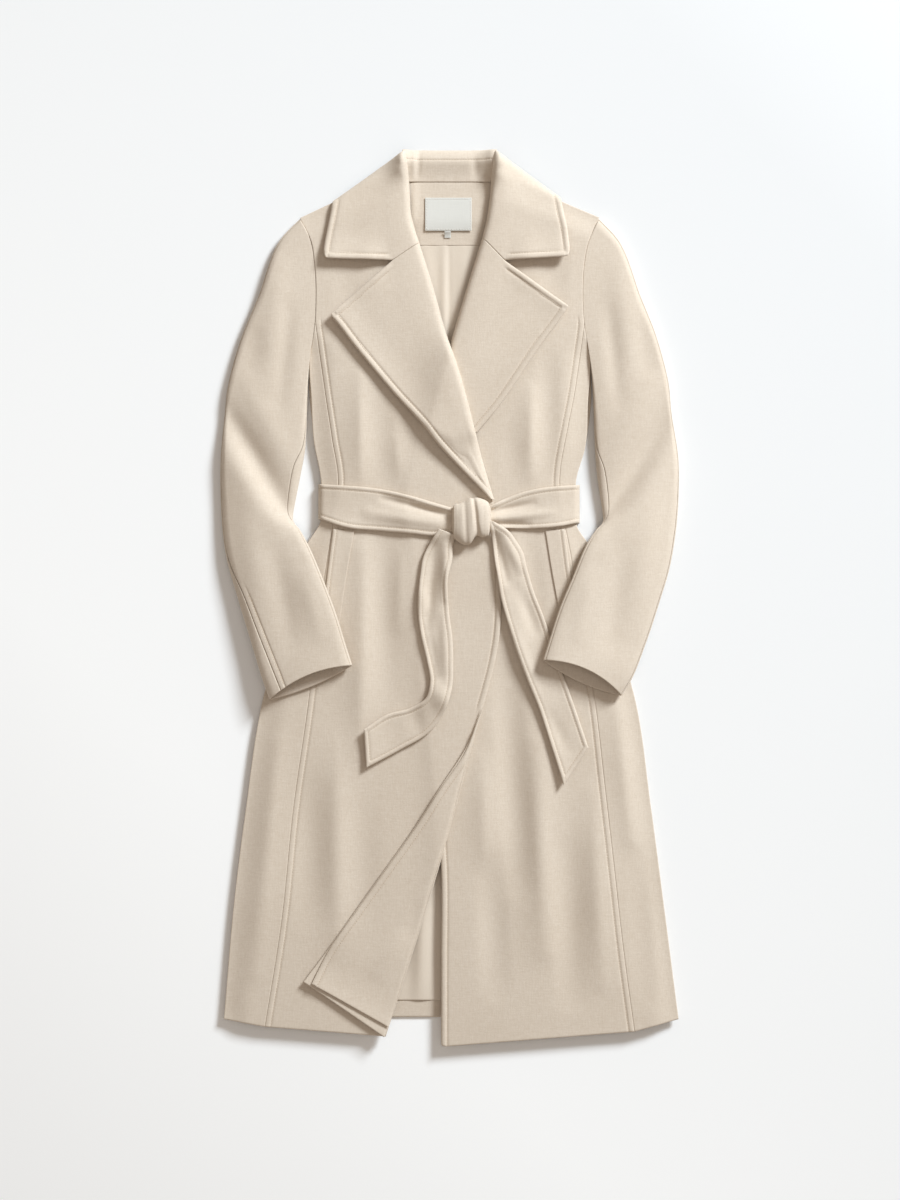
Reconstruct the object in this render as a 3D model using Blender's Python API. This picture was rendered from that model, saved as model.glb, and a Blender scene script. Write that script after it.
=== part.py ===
"""Wrap coat laid flat on its back, built from the pieces that a tailor cuts and sews.

The coat lies face up on the floor, z = 0. X runs from the wearer's right (-X) to the
wearer's left (+X) and Y from the hem to the collar. Right and left in a name are the
wearer's. Tables hold millimetres; meshes are made in metres. Every piece is a closed
wall of cloth: a grid of points, and the same grid moved out by the cloth's thickness.
A piece is laid on those below it: its points rest on their surface, a gap away.
"""

import math
from collections import namedtuple

import bpy
import numpy as np
from mathutils import Vector
from mathutils.bvhtree import BVHTree

MM = 0.001

# Cloths and gaps, in millimetres.
WOOL = 2.4               # wool coating, one layer
FACING = 1.6             # the facing's layer on the turned-back corner
LAPEL = 3.0              # lapel and collar fall: two layers pressed together
LINING = 1.0
BELT = 3.4               # belt: tube of wool pressed flat
WELT = 2.0
LABEL = 0.8
LAY_GAP = 0.45           # between a piece and what it lies on

# How high the fronts stand above the back, and how they come down at the side seams.
FRONT_LEVEL = 9.4        # underside of the fronts above the floor
EDGE_LEVEL = WOOL + LAY_GAP
EDGE_ROUND = 34.0        # the fronts round down over this width at sides and shoulders

# The sleeves' flattened tube.
TUBE_HEIGHT = 11.9
ARC_STEPS = 2            # facets of each rounded sleeve edge
FRONT_SEAM = 12.0        # front sleeve seam, inside the inner edge
SEWN = 0.35              # sleeve seam gap
ARM_SPACING = 80.0
ARM_ACROSS = 5           # facets across a sleeve's top
ARM_CLEAR = 0.9          # under a sleeve, above what it passes over
ARM_BESIDE = 4           # sections at the armhole, which lie beside the body
ARM_PROBES = 12          # places across a section where its height is tested
ARM_PROBE_END = 2.0      # the outermost of them, from the section's edges

TEST_STEP = 2.0          # a laid piece is tested against what is below it at this spacing
CLEAR_SWEEPS = 2         # so many times over

# Creases of the back: the lining's pleat below the neck, and the stand's climb to the roll.
PLEAT_X = 4.0
PLEAT_WIDTH = 9.0
PLEAT_RISE = 1.4
PLEAT_FOOT = 150.0       # the pleat fades out towards this height above the hem's zero
PLEAT_FADE = 150.0
STAND_RISE = 11.0        # the stand's ends climb to the collar's roll
STAND_MIDDLE = -2.0
STAND_FLAT = 34.0        # half of the stand that stays flat
STAND_CLIMB = 22.0
STAND_TURN = 2.2         # its top edge turns down to the collar's fall

# The tied belt.
BELT_BEHIND = 2.8        # the stretch behind the waist, pressed under the coat
KNOT_HEIGHT = 25.0
KNOT_SIDES = 14
KNOT_REST = ((4, 52), (70, 124), 6)   # where the knot rests: x range, y range, test spacing
SIDE_OUT = 1.6           # past the body's edge the belt turns down to meet its back stretch
SIDE_DROP = 3.1

Row = namedtuple("Row", "ax ay bx by")
Bent = namedtuple("Bent", "ax ay mx my bx by")
Arm = namedtuple("Arm", "out_x out_y in_x in_y bow_top bow_under out_z in_z crown seam")
Fold = namedtuple("Fold", "x0 y0 x1 y1 width depth")
Wrap = namedtuple("Wrap", "x top bottom height")

# Back, from hem to neck: side seam to side seam.
BACK = (
    Row(-281, -523.5, 284, -523.5), Row(-269, -385, 266, -385), Row(-254, -265, 249, -256),
    Row(-234, -134, 230, -127), Row(-205, -25, 200, -25), Row(-177, 68, 171, 68),
    Row(-161, 94, 157, 90), Row(-159, 118, 155.5, 118), Row(-160, 143, 155.5, 143),
    Row(-169, 197, 168, 186), Row(-174, 299, 174, 297), Row(-170, 320, 169.6, 320),
    Row(-167, 345, 166, 345), Row(-166.6, 394, 165, 396), Row(-172, 440, 168.5, 430),
    Row(-185, 471, 183, 471), Row(-140, 492, 136, 490),
    Row(-98, 508, 96, 507), Row(-60, 518.6, 60, 518.6),
)
LINING_ROWS = (
    Row(-262, -502, 264, -502), Row(-252, -385, 249, -385), Row(-238, -265, 233, -256),
    Row(-217, -134, 213, -127), Row(-188, -25, 184, -25), Row(-156, 75, 151, 75),
    Row(-144, 118, 140, 118), Row(-150, 197, 149, 186), Row(-156, 300, 156, 298),
    Row(-150, 360, 148, 360), Row(-120, 439.6, 120, 439.6),
)
NECK_FACING = (Row(-120, 440.2, 120, 440.2), Row(-92, 480, 92, 480), Row(-60, 518.4, 60, 518.4))
STAND = (Row(-49, 519.2, 48.5, 519.2), Row(-50.5, 532, 50, 532), Row(-52, 545, 52, 545),
         Row(-53.5, 553, 53.5, 553), Row(-55, 558.4, 54, 558.4))
COLLAR_BACK = (
    Row(-142, 492, -144, 478), Row(-100, 522, -104, 452), Row(-56, 556, -58, 470),
    Row(0, 557.5, 0, 474), Row(56, 556, 58, 470), Row(97, 524, 103, 452), Row(134, 497, 138, 480),
)
LABEL_ROWS = (Row(-31, 458, 27, 458), Row(-31, 499, 27, 499))
TAG_ROWS = (Row(-7, 449, 1, 449), Row(-7, 457.4, 1, 457.4))

# Fronts, from hem to shoulder.
FRONT_LEFT = (
    Row(-11, -559, 229.6, -540), Row(-11, -450, 216, -440), Row(-11, -342, 204, -334),
    Row(-20, -220, 192, -230), Row(-38, -60, 171, -70), Row(-50, 100, 142, 95),
    Row(-57, 122, 136, 142), Row(-28, 220, 147, 215), Row(0, 317, 160, 290),
    Row(21, 391, 165, 340), Row(34, 430, 164, 396), Row(42, 462, 168, 430),
    Row(49, 496, 177, 455), Row(52, 518, 183, 470),
)
FRONT_RIGHT = (
    Row(-230.6, -534, -80, -546), Row(-209, -400, -30, -390), Row(-195, -265, 2, -280),
    Row(-175.6, -127, 30, -175), Row(-166, -60, 57, -75), Row(-155, 20, 64, -10),
    Row(-144, 90, 60, 95), Row(-138, 142, 50, 140), Row(-147, 200, 31, 215),
    Row(-158, 280, 9, 290), Row(-166.4, 344, -11, 352), Row(-166.2, 394, -28, 415),
    Row(-171, 434, -42, 464), Row(-178.5, 456, -49, 497), Row(-185, 470, -53, 518),
)
SIDE_RIGHT = (
    Row(-282, -525, -231.4, -534), Row(-270, -385, -209.8, -400), Row(-255, -265, -195.8, -265),
    Row(-235, -134, -176.4, -127), Row(-205, -25, -162, -25), Row(-178, 68, -149.6, 68),
    Row(-162, 94, -145.6, 92), Row(-160, 118, -142.6, 118), Row(-160.6, 143, -139.8, 143),
    Row(-170, 197, -147.4, 197), Row(-173, 250, -154.8, 250), Row(-174.8, 299, -161.8, 297),
    Row(-170.8, 320, -164.6, 320), Row(-168.2, 339, -167.2, 341),
)
SIDE_LEFT = (
    Row(230.4, -540, 285, -525), Row(212, -400, 267, -385), Row(196.4, -262, 250, -256),
    Row(180.6, -127, 231, -127), Row(162.5, -25, 201, -25), Row(148, 68, 172, 68),
    Row(143.6, 92, 158, 90), Row(140.2, 118, 156.9, 118), Row(136.8, 143, 156.9, 143),
    Row(146, 197, 169, 190), Row(154, 250, 172, 245), Row(161.4, 295, 174.6, 298),
    Row(164.4, 320, 170.2, 320), Row(166.4, 340, 167.4, 341),
)

# Soft troughs (negative) and ridges in the fronts: the largest folds only.
FOLDS = (
    Fold(-86, 70, -84, -135, 15, -3.2), Fold(-112, 60, -112, -190, 15, 2.6),
    Fold(-166, -250, -168, -380, 17, -2.4), Fold(-128, -200, -132, -400, 17, 2.4),
    Fold(72, -70, 84, -235, 13, -2.8), Fold(90, -215, 96, -500, 17, -2.6),
    Fold(147, -200, 152, -500, 18, 2.6), Fold(226, -300, 236, -490, 14, -2.0),
    Fold(131, 300, 128, 160, 11, -2.4), Fold(106, 300, 104, 160, 12, 2.0),
    Fold(-92, 280, -90, 160, 12, -2.2), Fold(-116, 290, -113, 160, 11, 1.8),
)

# Lapels, from the waist up: roll line to outer edge; the last row is gorge, notch and point.
LAPEL_RIGHT = (
    Bent(55, 122, 53, 122.5, 50, 123), Bent(38, 181, 15, 172, -9, 184),
    Bent(21, 249, -10, 228, -40, 222), Bent(9, 290, -25, 265, -72, 257),
    Bent(-4, 327, -40, 305, -112, 305), Bent(-20, 384, -60, 358, -136, 336),
    Bent(-38, 442, -72, 419.2, -149, 352),
)
LAPEL_LEFT = (
    Bent(-27, 220, 0, 202, 34, 206), Bent(-10, 280, 25, 262, 67, 247),
    Bent(4, 330, 40, 305, 106, 305), Bent(22, 390, 55, 362, 134, 343),
    Bent(40, 448, 68, 419.4, 148, 362),
)
LAPEL_LIFT = 3.6         # how far the upper lapel bellies
UNDER_LAPEL_LIFT = 1.8

# Collar leaves, from the notched lower edge up to the line where they go over the shoulder.
COLLAR_RIGHT = (
    Bent(-38.5, 442.7, -72.4, 419.9, -158, 421.4), Bent(-48, 474, -78, 456, -156, 441),
    Bent(-50, 504, -82, 486, -152, 462), Bent(-52, 532, -84, 513, -148.5, 480),
    Bent(-56, 557, -88, 536, -146, 494),
)
COLLAR_LEFT = (
    Bent(40.5, 448.7, 68.6, 420.1, 150, 424), Bent(46, 474, 78, 456, 148, 442),
    Bent(50, 504, 82, 486, 145, 464), Bent(52, 532, 84, 513, 141, 482),
    Bent(56, 557, 88, 536, 138, 499),
)
LEAF_LIFT = 4.2
LEAF_EDGE = (3.2, 9.5)   # the leaf's height at the shoulder line, at its outer end and its neck end

# The right front's lower corner, turned back: fold line to free edge, top to hem.
CORNER = (
    Row(44, -140, 41, -147), Row(26, -188, 14, -196), Row(12, -240, -16, -238),
    Row(-2, -290, -42, -290), Row(-18, -342, -76, -338), Row(-38, -410, -115, -391),
    Row(-60, -478, -152, -437), Row(-81.6, -546, -182, -477),
)
CORNER_FACING = (
    Row(34, -166, 30, -170), Row(24, -192, 15, -196), Row(10, -242, -14, -239),
    Row(-4, -291, -40, -291), Row(-20, -342, -73, -339), Row(-39, -408, -112, -392),
    Row(-58, -470, -148, -436), Row(-76.5, -533, -172, -479),
)
CORNER_LIFT = 0.6
CORNER_FACING_LIFT = 0.2

WELT_RIGHT = (Row(-145.4, 86, -119, 84), Row(-152, 35, -128, 33), Row(-158, -12, -135, -14),
              Row(-165, -55, -142, -58))
WELT_LEFT = (Row(118.6, 84, 142.4, 86), Row(126.5, 35, 149, 35), Row(135, -12, 157, -12),
             Row(143, -60, 164, -58))

# Belt stretches, from the body's side to the knot: lower edge to upper edge.
BELT_BACK = (Row(-163, 97, -162, 140), Row(-80, 94, -80, 138), Row(0, 93, 0, 138),
             Row(80, 94, 80, 138), Row(162, 93, 158, 140))
BELT_RIGHT = (
    Row(-162.6, 98.5, -162.6, 142), Row(-126, 87, -126, 139.5),
    Row(-90, 83.5, -90, 136), Row(-45, 79.5, -45, 126), Row(-21, 77, -21, 119),
    Row(1, 80, 1, 111),
)
BELT_LEFT = (
    Row(52.5, 85, 52.5, 113), Row(70, 86.5, 70, 124), Row(92, 86, 92, 132), Row(119, 87, 119, 137.5),
    Row(140, 89.5, 140, 139.5), Row(160.2, 94, 160.2, 141),
)
KNOT = (
    Wrap(1.4, 108, 82, 0.56), Wrap(4, 114, 74, 0.76), Wrap(10, 117, 70, 0.90), Wrap(17, 121, 66, 1.0),
    Wrap(22, 122, 65.5, 0.94), Wrap(29, 125, 69, 1.06), Wrap(36, 125, 73, 0.96),
    Wrap(43, 121, 75, 1.0), Wrap(49, 117, 76, 0.86), Wrap(52, 112, 81, 0.60),
)
TAIL_RIGHT = (
    Row(-24, 70, 3.5, 64), Row(-33, 52, 3, 48), Row(-37, 30, -2, 28), Row(-40, -17, -1, -18),
    Row(-36, -48, 3, -50), Row(-29, -78, 4, -78), Row(-25, -104, 2.5, -112), Row(-30, -124, -6, -139),
    Row(-48, -136, -24, -165), Row(-79, -145, -62, -189), Row(-107, -163, -104, -211),
)
TAIL_LEFT = (
    Row(52.5, 74, 79, 76), Row(54, 52, 88, 60), Row(57, 32, 95, 38), Row(62, 2, 104, 8),
    Row(73, -36, 116, -22), Row(84, -71, 127, -55), Row(97, -105, 139, -90),
    Row(111, -139, 151, -124), Row(126, -185, 162, -156), Row(141, -232, 172, -186),
)

# Sleeves, from the armhole to the cuff: outer edge to inner edge of each section.
SLEEVE_RIGHT = (
    Arm(-188.5, 472, -176.2, 300, 15, 15, 0, 0, 0.0, 6),
    Arm(-212, 447, -177.4, 268, 12, 12, 0, 0, 1.2, 6),
    Arm(-240, 374, -178.6, 226, 6, 6, 0, 0, 3.0, 6),
    Arm(-262, 320, -180.5, 186, 0, 0, 0, 0, 3.4, 6),
    Arm(-277, 265, -187, 150, -4, -4, 0, 0, 2.2, 6),
    Arm(-281, 229, -195.6, 104, -6, -6, 0, 0, 0.0, 6),
    Arm(-286, 176, -194, 94, -6, -6, 0, 4, 4.0, 6),
    Arm(-286, 124, -186, 84, -4, -4, 0, 10, 4.6, 6),
    Arm(-280, 58, -172, 58, 0, 0, 3, 15, 4.0, 6),
    Arm(-264, -1, -156, 20, 0, 0, 6, 19, 3.4, 9),
    Arm(-247, -56, -141, -20, 0, 0, 10, 19, 3.2, 13),
    Arm(-232, -104, -128, -62, 6, 0, 13, 18, 4.6, 17),
    Arm(-224, -126.5, -121, -83.5, 15, -1, 13, 17, 7.0, 18),
)
SLEEVE_LEFT = (
    Arm(186.5, 472, 176.2, 298, 15, 15, 0, 0, 0.0, 6),
    Arm(210, 447, 178, 266, 12, 12, 0, 0, 1.2, 6),
    Arm(238, 376, 179.5, 222, 6, 6, 0, 0, 3.0, 6),
    Arm(257, 328, 181, 182, 0, 0, 0, 0, 3.4, 6),
    Arm(272, 272, 184, 148, -4, -4, 0, 0, 2.2, 6),
    Arm(277, 226, 190.6, 104, -6, -6, 0, 0, 0.0, 6),
    Arm(285, 174, 190, 94, -6, -6, 0, 4, 4.0, 6),
    Arm(285, 122, 181, 84, -4, -4, 0, 10, 4.6, 6),
    Arm(276, 48, 167, 62, 0, 0, 3, 16, 4.0, 6),
    Arm(260, -8, 152, 26, 0, 0, 6, 19, 3.4, 6),
    Arm(243, -58, 136, -12, 0, 0, 10, 20, 3.2, 6),
    Arm(224, -104, 122, -55, 6, 0, 13, 20, 4.6, 6),
    Arm(213, -121.5, 115, -77, 15, -1, 13, 20, 7.0, 6),
)

# Edges where the fronts come down to the back: side seams and shoulders.
BODY_SIDES = (
    ((-282, -525), (-270, -385), (-255, -265), (-235, -134), (-203, -20), (-176, 75),
     (-161, 118), (-164, 144), (-170, 197), (-175, 299)),
    ((285, -525), (267, -385), (250, -256), (231, -127), (199, -20), (170, 75),
     (158, 118), (159, 144), (169, 186), (175, 299)),
    ((-187, 473), (-146, 491), (-100, 508), (-60, 524)),
    ((185, 473), (140, 491), (100, 508), (60, 524)),
)


class Bed:
    """All that has been laid so far, read as one surface from above."""

    def __init__(self):
        self.points = []
        self.faces = []
        self.tree = None

    def add(self, points, faces):
        """Lay a piece: its points in millimetres and its faces."""
        start = len(self.points)
        self.points.extend(Vector(point) for point in points)
        self.faces.extend([index + start for index in face] for face in faces)
        self.tree = BVHTree.FromPolygons(self.points, self.faces)

    def height(self, x, y):
        """Top of what lies at one place, or the floor."""
        if self.tree is None:
            return 0.0
        hit = self.tree.ray_cast(Vector((x, y, 500.0)), Vector((0.0, 0.0, -1.0)))[0]
        return hit.z if hit else 0.0

    def tops(self, plan):
        """Height under each plan point, as a table in the plan's own rows."""
        tops = np.zeros(plan.shape[:2])
        for index in np.ndindex(*tops.shape):
            tops[index] = self.height(*plan[index])
        return tops


def cloth_material(name, colour, roughness):
    """Matt cloth in one colour."""
    material = bpy.data.materials.new(name)
    material.use_nodes = True
    surface = material.node_tree.nodes["Principled BSDF"]
    surface.inputs["Base Color"].default_value = (*colour, 1.0)
    surface.inputs["Roughness"].default_value = roughness
    surface.inputs["Metallic"].default_value = 0.0
    material.diffuse_color = (*colour, 1.0)
    return material


def through(rows, spacing):
    """Smooth curve through the rows' numbers: every row, and even steps of the spacing between."""
    table = np.array(rows, dtype=float)
    middles = np.stack([table[:, 0:4:2].mean(axis=1), table[:, 1:4:2].mean(axis=1)], axis=1)
    steps = np.linalg.norm(np.diff(middles, axis=0), axis=1)
    knots = np.concatenate([[0.0], np.cumsum(steps)])
    slopes = np.gradient(table, knots, axis=0)
    read = []
    for index, width in enumerate(steps):
        count = max(1, round(width / spacing))
        for part in range(count):
            t = part / count
            start = (2 * t**3 - 3 * t**2 + 1) * table[index]
            start += (t**3 - 2 * t**2 + t) * width * slopes[index]
            end = (3 * t**2 - 2 * t**3) * table[index + 1] + (t**3 - t**2) * width * slopes[index + 1]
            read.append(start + end)
    read.append(table[-1])
    return np.array(read)


def plan_grid(rows, across, spacing):
    """Points of a panel seen from above: every table row, and rows between at the spacing."""
    table = through(rows, spacing)
    table = table.reshape(len(table), -1, 2)
    stops = np.linspace(0.0, 1.0, table.shape[1])
    fractions = np.linspace(0.0, 1.0, across + 1)
    plan = np.empty((len(table), across + 1, 2))
    for row in range(len(table)):
        for axis in range(2):
            plan[row, :, axis] = np.interp(fractions, stops, table[row, :, axis])
    return plan


def distance_to(plan, line):
    """Distance from each plan point to a line of straight stretches."""
    nearest = np.full(plan.shape[:2], 1e9)
    for start, end in zip(line, line[1:]):
        a = np.array(start, dtype=float)
        run = np.array(end, dtype=float) - a
        t = np.clip(((plan - a) @ run) / (run @ run), 0.0, 1.0)
        nearest = np.minimum(nearest, np.linalg.norm(plan - (a + t[..., None] * run), axis=-1))
    return nearest


def rounded(distance, width):
    """Rise from 0 at an edge to 1, as a quarter of a round."""
    return np.sin(np.clip(distance / width, 0.0, 1.0) * math.pi / 2)


def folds_at(plan):
    """Height of the soft troughs and ridges at each plan point."""
    height = np.zeros(plan.shape[:2])
    for fold in FOLDS:
        start = np.array([fold.x0, fold.y0], dtype=float)
        run = np.array([fold.x1, fold.y1], dtype=float) - start
        t = ((plan - start) @ run) / (run @ run)
        off = np.linalg.norm(plan - (start + np.clip(t, 0, 1)[..., None] * run), axis=-1)
        ends = np.sin(np.clip((t + 0.15) / 1.3, 0, 1) * math.pi) ** 0.5
        height += fold.depth * np.exp(-((off / fold.width) ** 2)) * ends
    return height


def body_level(plan):
    """Underside of the fronts before anything below lifts them."""
    edge = np.full(plan.shape[:2], 1e9)
    for line in BODY_SIDES:
        edge = np.minimum(edge, distance_to(plan, line))
    fall = rounded(edge, EDGE_ROUND)
    return EDGE_LEVEL + (FRONT_LEVEL - EDGE_LEVEL + folds_at(plan)) * fall


def soften(height, lowest, passes):
    """Let the cloth bridge steps below it: average with the neighbours, never sinking in."""
    for _ in range(passes):
        wide = np.pad(height, 1, mode="edge")
        mean = (wide[:-2, 1:-1] + wide[2:, 1:-1] + wide[1:-1, :-2] + wide[1:-1, 2:]) / 4
        height = np.maximum(lowest, mean)
    return height


def shares(steps):
    """Even places inside a triangle, each as the shares of its three corners."""
    return [(i / steps, j / steps, (steps - i - j) / steps)
            for i in range(steps + 1) for j in range(steps + 1 - i)]


def clear(points, bed):
    """Push a grid up wherever one of its triangles would come too near to what is below."""
    height = points[..., 2]
    rows, columns = height.shape
    for row, column in list(np.ndindex(rows - 1, columns - 1)) * CLEAR_SWEEPS:
        a, b = (row, column), (row, column + 1)
        c, d = (row + 1, column + 1), (row + 1, column)
        steps = math.ceil(np.linalg.norm(points[c] - points[a]) / TEST_STEP)
        for corners in ((a, d, c), (a, c, b)):
            for share in shares(steps):
                x, y, z = sum(part * points[corner] for part, corner in zip(share, corners))
                top = bed.height(x, y)
                short = top + LAY_GAP - z
                if top > 0.0 and short > 0.0:
                    evenly = sum(part * part for part in share)
                    for part, corner in zip(share, corners):
                        height[corner] += short * part / evenly
    return points


def lay(plan, bed, level=None, lift=0.0, passes=3):
    """Give plan points the height of what they lie on, or the panel's own level if higher.

    A lift raises the middle of each row, so that a lapel bellies between its two edges.
    """
    share = np.linspace(0.0, 1.0, plan.shape[1])
    lowest = bed.tops(plan) + LAY_GAP + lift * np.sin(math.pi * share)
    if level is not None:
        lowest = np.maximum(lowest, level)
    height = soften(lowest, lowest, passes)
    return clear(np.concatenate([plan, height[..., None]], axis=-1), bed)


def normals_of(points):
    """Unit normals of a grid, pointing up on a flat one."""
    along = np.gradient(points, axis=0)
    across = np.gradient(points, axis=1)
    normal = np.cross(across, along)
    normal /= np.linalg.norm(normal, axis=-1, keepdims=True)
    return normal


def wall(name, points, offset, material, bed=None):
    """Closed wall between a grid of points and the same grid moved by an offset."""
    rows, columns = points.shape[:2]
    moved = points + offset
    count = rows * columns
    vertices = np.concatenate([points.reshape(-1, 3), moved.reshape(-1, 3)])
    faces = []
    for row in range(rows - 1):
        for column in range(columns - 1):
            a = row * columns + column
            b, c, d = a + 1, a + columns + 1, a + columns
            faces.append((a, d, c, b))
            faces.append((a + count, b + count, c + count, d + count))
    rim = list(range(columns))
    rim += [row * columns + columns - 1 for row in range(1, rows)]
    rim += [(rows - 1) * columns + column for column in range(columns - 2, -1, -1)]
    rim += [row * columns for row in range(rows - 2, 0, -1)]
    for here, there in zip(rim, rim[1:] + rim[:1]):
        faces.append((here, there, there + count, here + count))
    return solid(name, vertices, faces, material, bed)


def solid(name, vertices, faces, material, bed=None):
    """Object from points in millimetres, with its faces turned outwards."""
    corners = np.asarray(vertices)
    triangles = []
    for face in faces:
        for second, third in zip(face[1:], face[2:]):
            triangles.append((face[0], second, third))
    table = corners[np.array(triangles)]
    volume = np.einsum("ij,ij->", table[:, 0], np.cross(table[:, 1], table[:, 2]))
    if volume < 0:
        triangles = [(first, third, second) for first, second, third in triangles]
    mesh = bpy.data.meshes.new(name)
    mesh.from_pydata([tuple(corner * MM) for corner in corners], [], triangles)
    mesh.materials.append(material)
    mesh.shade_smooth()
    mesh.set_sharp_from_angle(angle=math.radians(50))
    built = bpy.data.objects.new(name, mesh)
    bpy.context.scene.collection.objects.link(built)
    if bed is not None:
        bed.add(corners, triangles)
    return built


def panel(name, points, thickness, material, bed):
    """Wall whose underside is the laid grid."""
    offset = normals_of(points) * thickness
    if offset[..., 2].mean() < 0:
        offset = -offset
    return wall(name, points, offset, material, bed)


def flat(plan, height):
    """Plan points all at one height."""
    return np.concatenate([plan, np.full((*plan.shape[:2], 1), height)], axis=-1)


def build_back(bed, wool, lining, label_cloth):
    """What lies lowest: belt behind the waist, collar behind the neck, back, lining and neck."""
    panel("belt_back", flat(plan_grid(BELT_BACK, 2, 90), 0.0), BELT_BEHIND, wool, bed)
    panel("collar_back", flat(plan_grid(COLLAR_BACK, 3, 60), 0.0), WOOL, wool, bed)
    plan = plan_grid(BACK, 8, 60)
    tops = bed.tops(plan)
    lowest = np.where(tops > 0.0, tops + LAY_GAP, 0.0)
    back = clear(np.concatenate([plan, lowest[..., None]], axis=-1), bed)
    panel("back", back, WOOL, wool, bed)
    plan = plan_grid(LINING_ROWS, 10, 70)
    pleat = np.exp(-(((plan[..., 0] - PLEAT_X) / PLEAT_WIDTH) ** 2))
    pleat *= np.clip((plan[..., 1] - PLEAT_FOOT) / PLEAT_FADE, 0, 1)
    pleated = lay(plan, bed)
    pleated[..., 2] += PLEAT_RISE * pleat
    panel("back_lining", pleated, LINING, lining, bed)
    plan = plan_grid(NECK_FACING, 6, 40)
    panel("back_neck_facing", lay(plan, bed, passes=1), FACING, wool, bed)
    plan = plan_grid(STAND, 12, 20)
    stand = lay(plan, bed, passes=1)
    side = np.clip((np.abs(plan[..., 0] - STAND_MIDDLE) - STAND_FLAT) / STAND_CLIMB, 0, 1)
    stand[..., 2] += STAND_RISE * side**2
    stand[-1, :, 2] = np.maximum(stand[-1, :, 2] - STAND_TURN, WOOL + LAY_GAP)
    panel("collar_stand", stand, WOOL, wool, bed)
    panel("label", lay(plan_grid(LABEL_ROWS, 3, 20), bed, passes=0), LABEL, label_cloth, bed)
    panel("size_tag", lay(plan_grid(TAG_ROWS, 1, 20), bed, passes=0), LABEL, label_cloth, bed)


def build_fronts(bed, wool):
    """Fronts and side fronts, lapels and the turned-back corner, in the order they lie."""
    plan = plan_grid(FRONT_LEFT, 8, 55)
    panel("front_left", lay(plan, bed, body_level(plan)), WOOL, wool, bed)
    plan = plan_grid(SIDE_LEFT, 3, 70)
    panel("side_front_left", lay(plan, bed, body_level(plan), passes=0), WOOL, wool, bed)
    plan = plan_grid(LAPEL_LEFT, 5, 40)
    panel("lapel_left", lay(plan, bed, lift=UNDER_LAPEL_LIFT), LAPEL, wool, bed)
    plan = plan_grid(FRONT_RIGHT, 9, 55)
    panel("front_right", lay(plan, bed, body_level(plan), passes=4), WOOL, wool, bed)
    plan = plan_grid(SIDE_RIGHT, 3, 70)
    panel("side_front_right", lay(plan, bed, body_level(plan), passes=0), WOOL, wool, bed)
    plan = plan_grid(CORNER, 3, 60)
    panel("front_corner_right", lay(plan, bed, lift=CORNER_LIFT), WOOL, wool, bed)
    plan = plan_grid(CORNER_FACING, 3, 60)
    panel("front_facing_right", lay(plan, bed, lift=CORNER_FACING_LIFT), FACING, wool, bed)
    plan = plan_grid(LAPEL_RIGHT, 5, 40)
    panel("lapel_right", lay(plan, bed, lift=LAPEL_LIFT), LAPEL, wool, bed)
    panel("pocket_welt_right", lay(plan_grid(WELT_RIGHT, 2, 40), bed, passes=0), WELT, wool, bed)
    panel("pocket_welt_left", lay(plan_grid(WELT_LEFT, 2, 40), bed, passes=0), WELT, wool, bed)


def build_collar(bed, wool):
    """The collar's two leaves, which come over the shoulders onto the fronts."""
    for name, rows in (("collar_right", COLLAR_RIGHT), ("collar_left", COLLAR_LEFT)):
        plan = plan_grid(rows, 5, 40)
        leaf = lay(plan, bed, lift=LEAF_LIFT)
        shoulder = np.linspace(LEAF_EDGE[1], LEAF_EDGE[0], leaf.shape[1])
        leaf[-1, :, 2] = np.maximum(shoulder, bed.tops(plan[-1:])[0] + LAY_GAP)
        leaf = clear(leaf, bed)
        panel(name, leaf, LAPEL, wool, bed)


def build_knot(bed, wool):
    """The knot: a closed loop of belt around both stretches, as one lumpy bundle."""
    across, along, spacing = KNOT_REST
    spots = [[x, y] for x in range(*across, spacing) for y in range(*along, spacing)]
    base = bed.tops(np.array([spots])).max() + LAY_GAP
    rings = []
    for wrap in KNOT:
        middle = (wrap.top + wrap.bottom) / 2
        half = (wrap.top - wrap.bottom) / 2
        for side in range(KNOT_SIDES):
            angle = 2 * math.pi * side / KNOT_SIDES
            lift = KNOT_HEIGHT * wrap.height * (0.5 + 0.5 * math.sin(angle))
            rings.append((wrap.x, middle + half * math.cos(angle), base + lift))
    faces = []
    for ring in range(len(KNOT) - 1):
        for side in range(KNOT_SIDES):
            a = ring * KNOT_SIDES + side
            b = ring * KNOT_SIDES + (side + 1) % KNOT_SIDES
            faces.append((a, b, b + KNOT_SIDES, a + KNOT_SIDES))
    last = (len(KNOT) - 1) * KNOT_SIDES
    for side in range(1, KNOT_SIDES - 1):
        faces.append((0, side + 1, side))
        faces.append((last, last + side, last + side + 1))
    solid("belt_knot", np.array(rings), faces, wool, bed)


def build_belt(bed, wool):
    """Belt stretches, the knot and its two tails."""
    for name, rows, end in (("belt_right", BELT_RIGHT, 0), ("belt_left", BELT_LEFT, -1)):
        plan = plan_grid(rows, 3, 30)
        stretch = lay(plan, bed, passes=2)
        turned = stretch[end:end + 1 or None].copy()
        turned[..., 0] += math.copysign(SIDE_OUT, turned[0, 0, 0])
        turned[..., 2] = SIDE_DROP + LAY_GAP
        order = (turned, stretch) if end == 0 else (stretch, turned)
        stretch = np.concatenate(order)
        panel(name, stretch, BELT, wool, bed)
    build_knot(bed, wool)
    for name, rows in (("belt_tail_right", TAIL_RIGHT), ("belt_tail_left", TAIL_LEFT)):
        plan = plan_grid(rows, 3, 35)
        panel(name, lay(plan, bed, passes=3), BELT, wool, bed)


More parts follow.
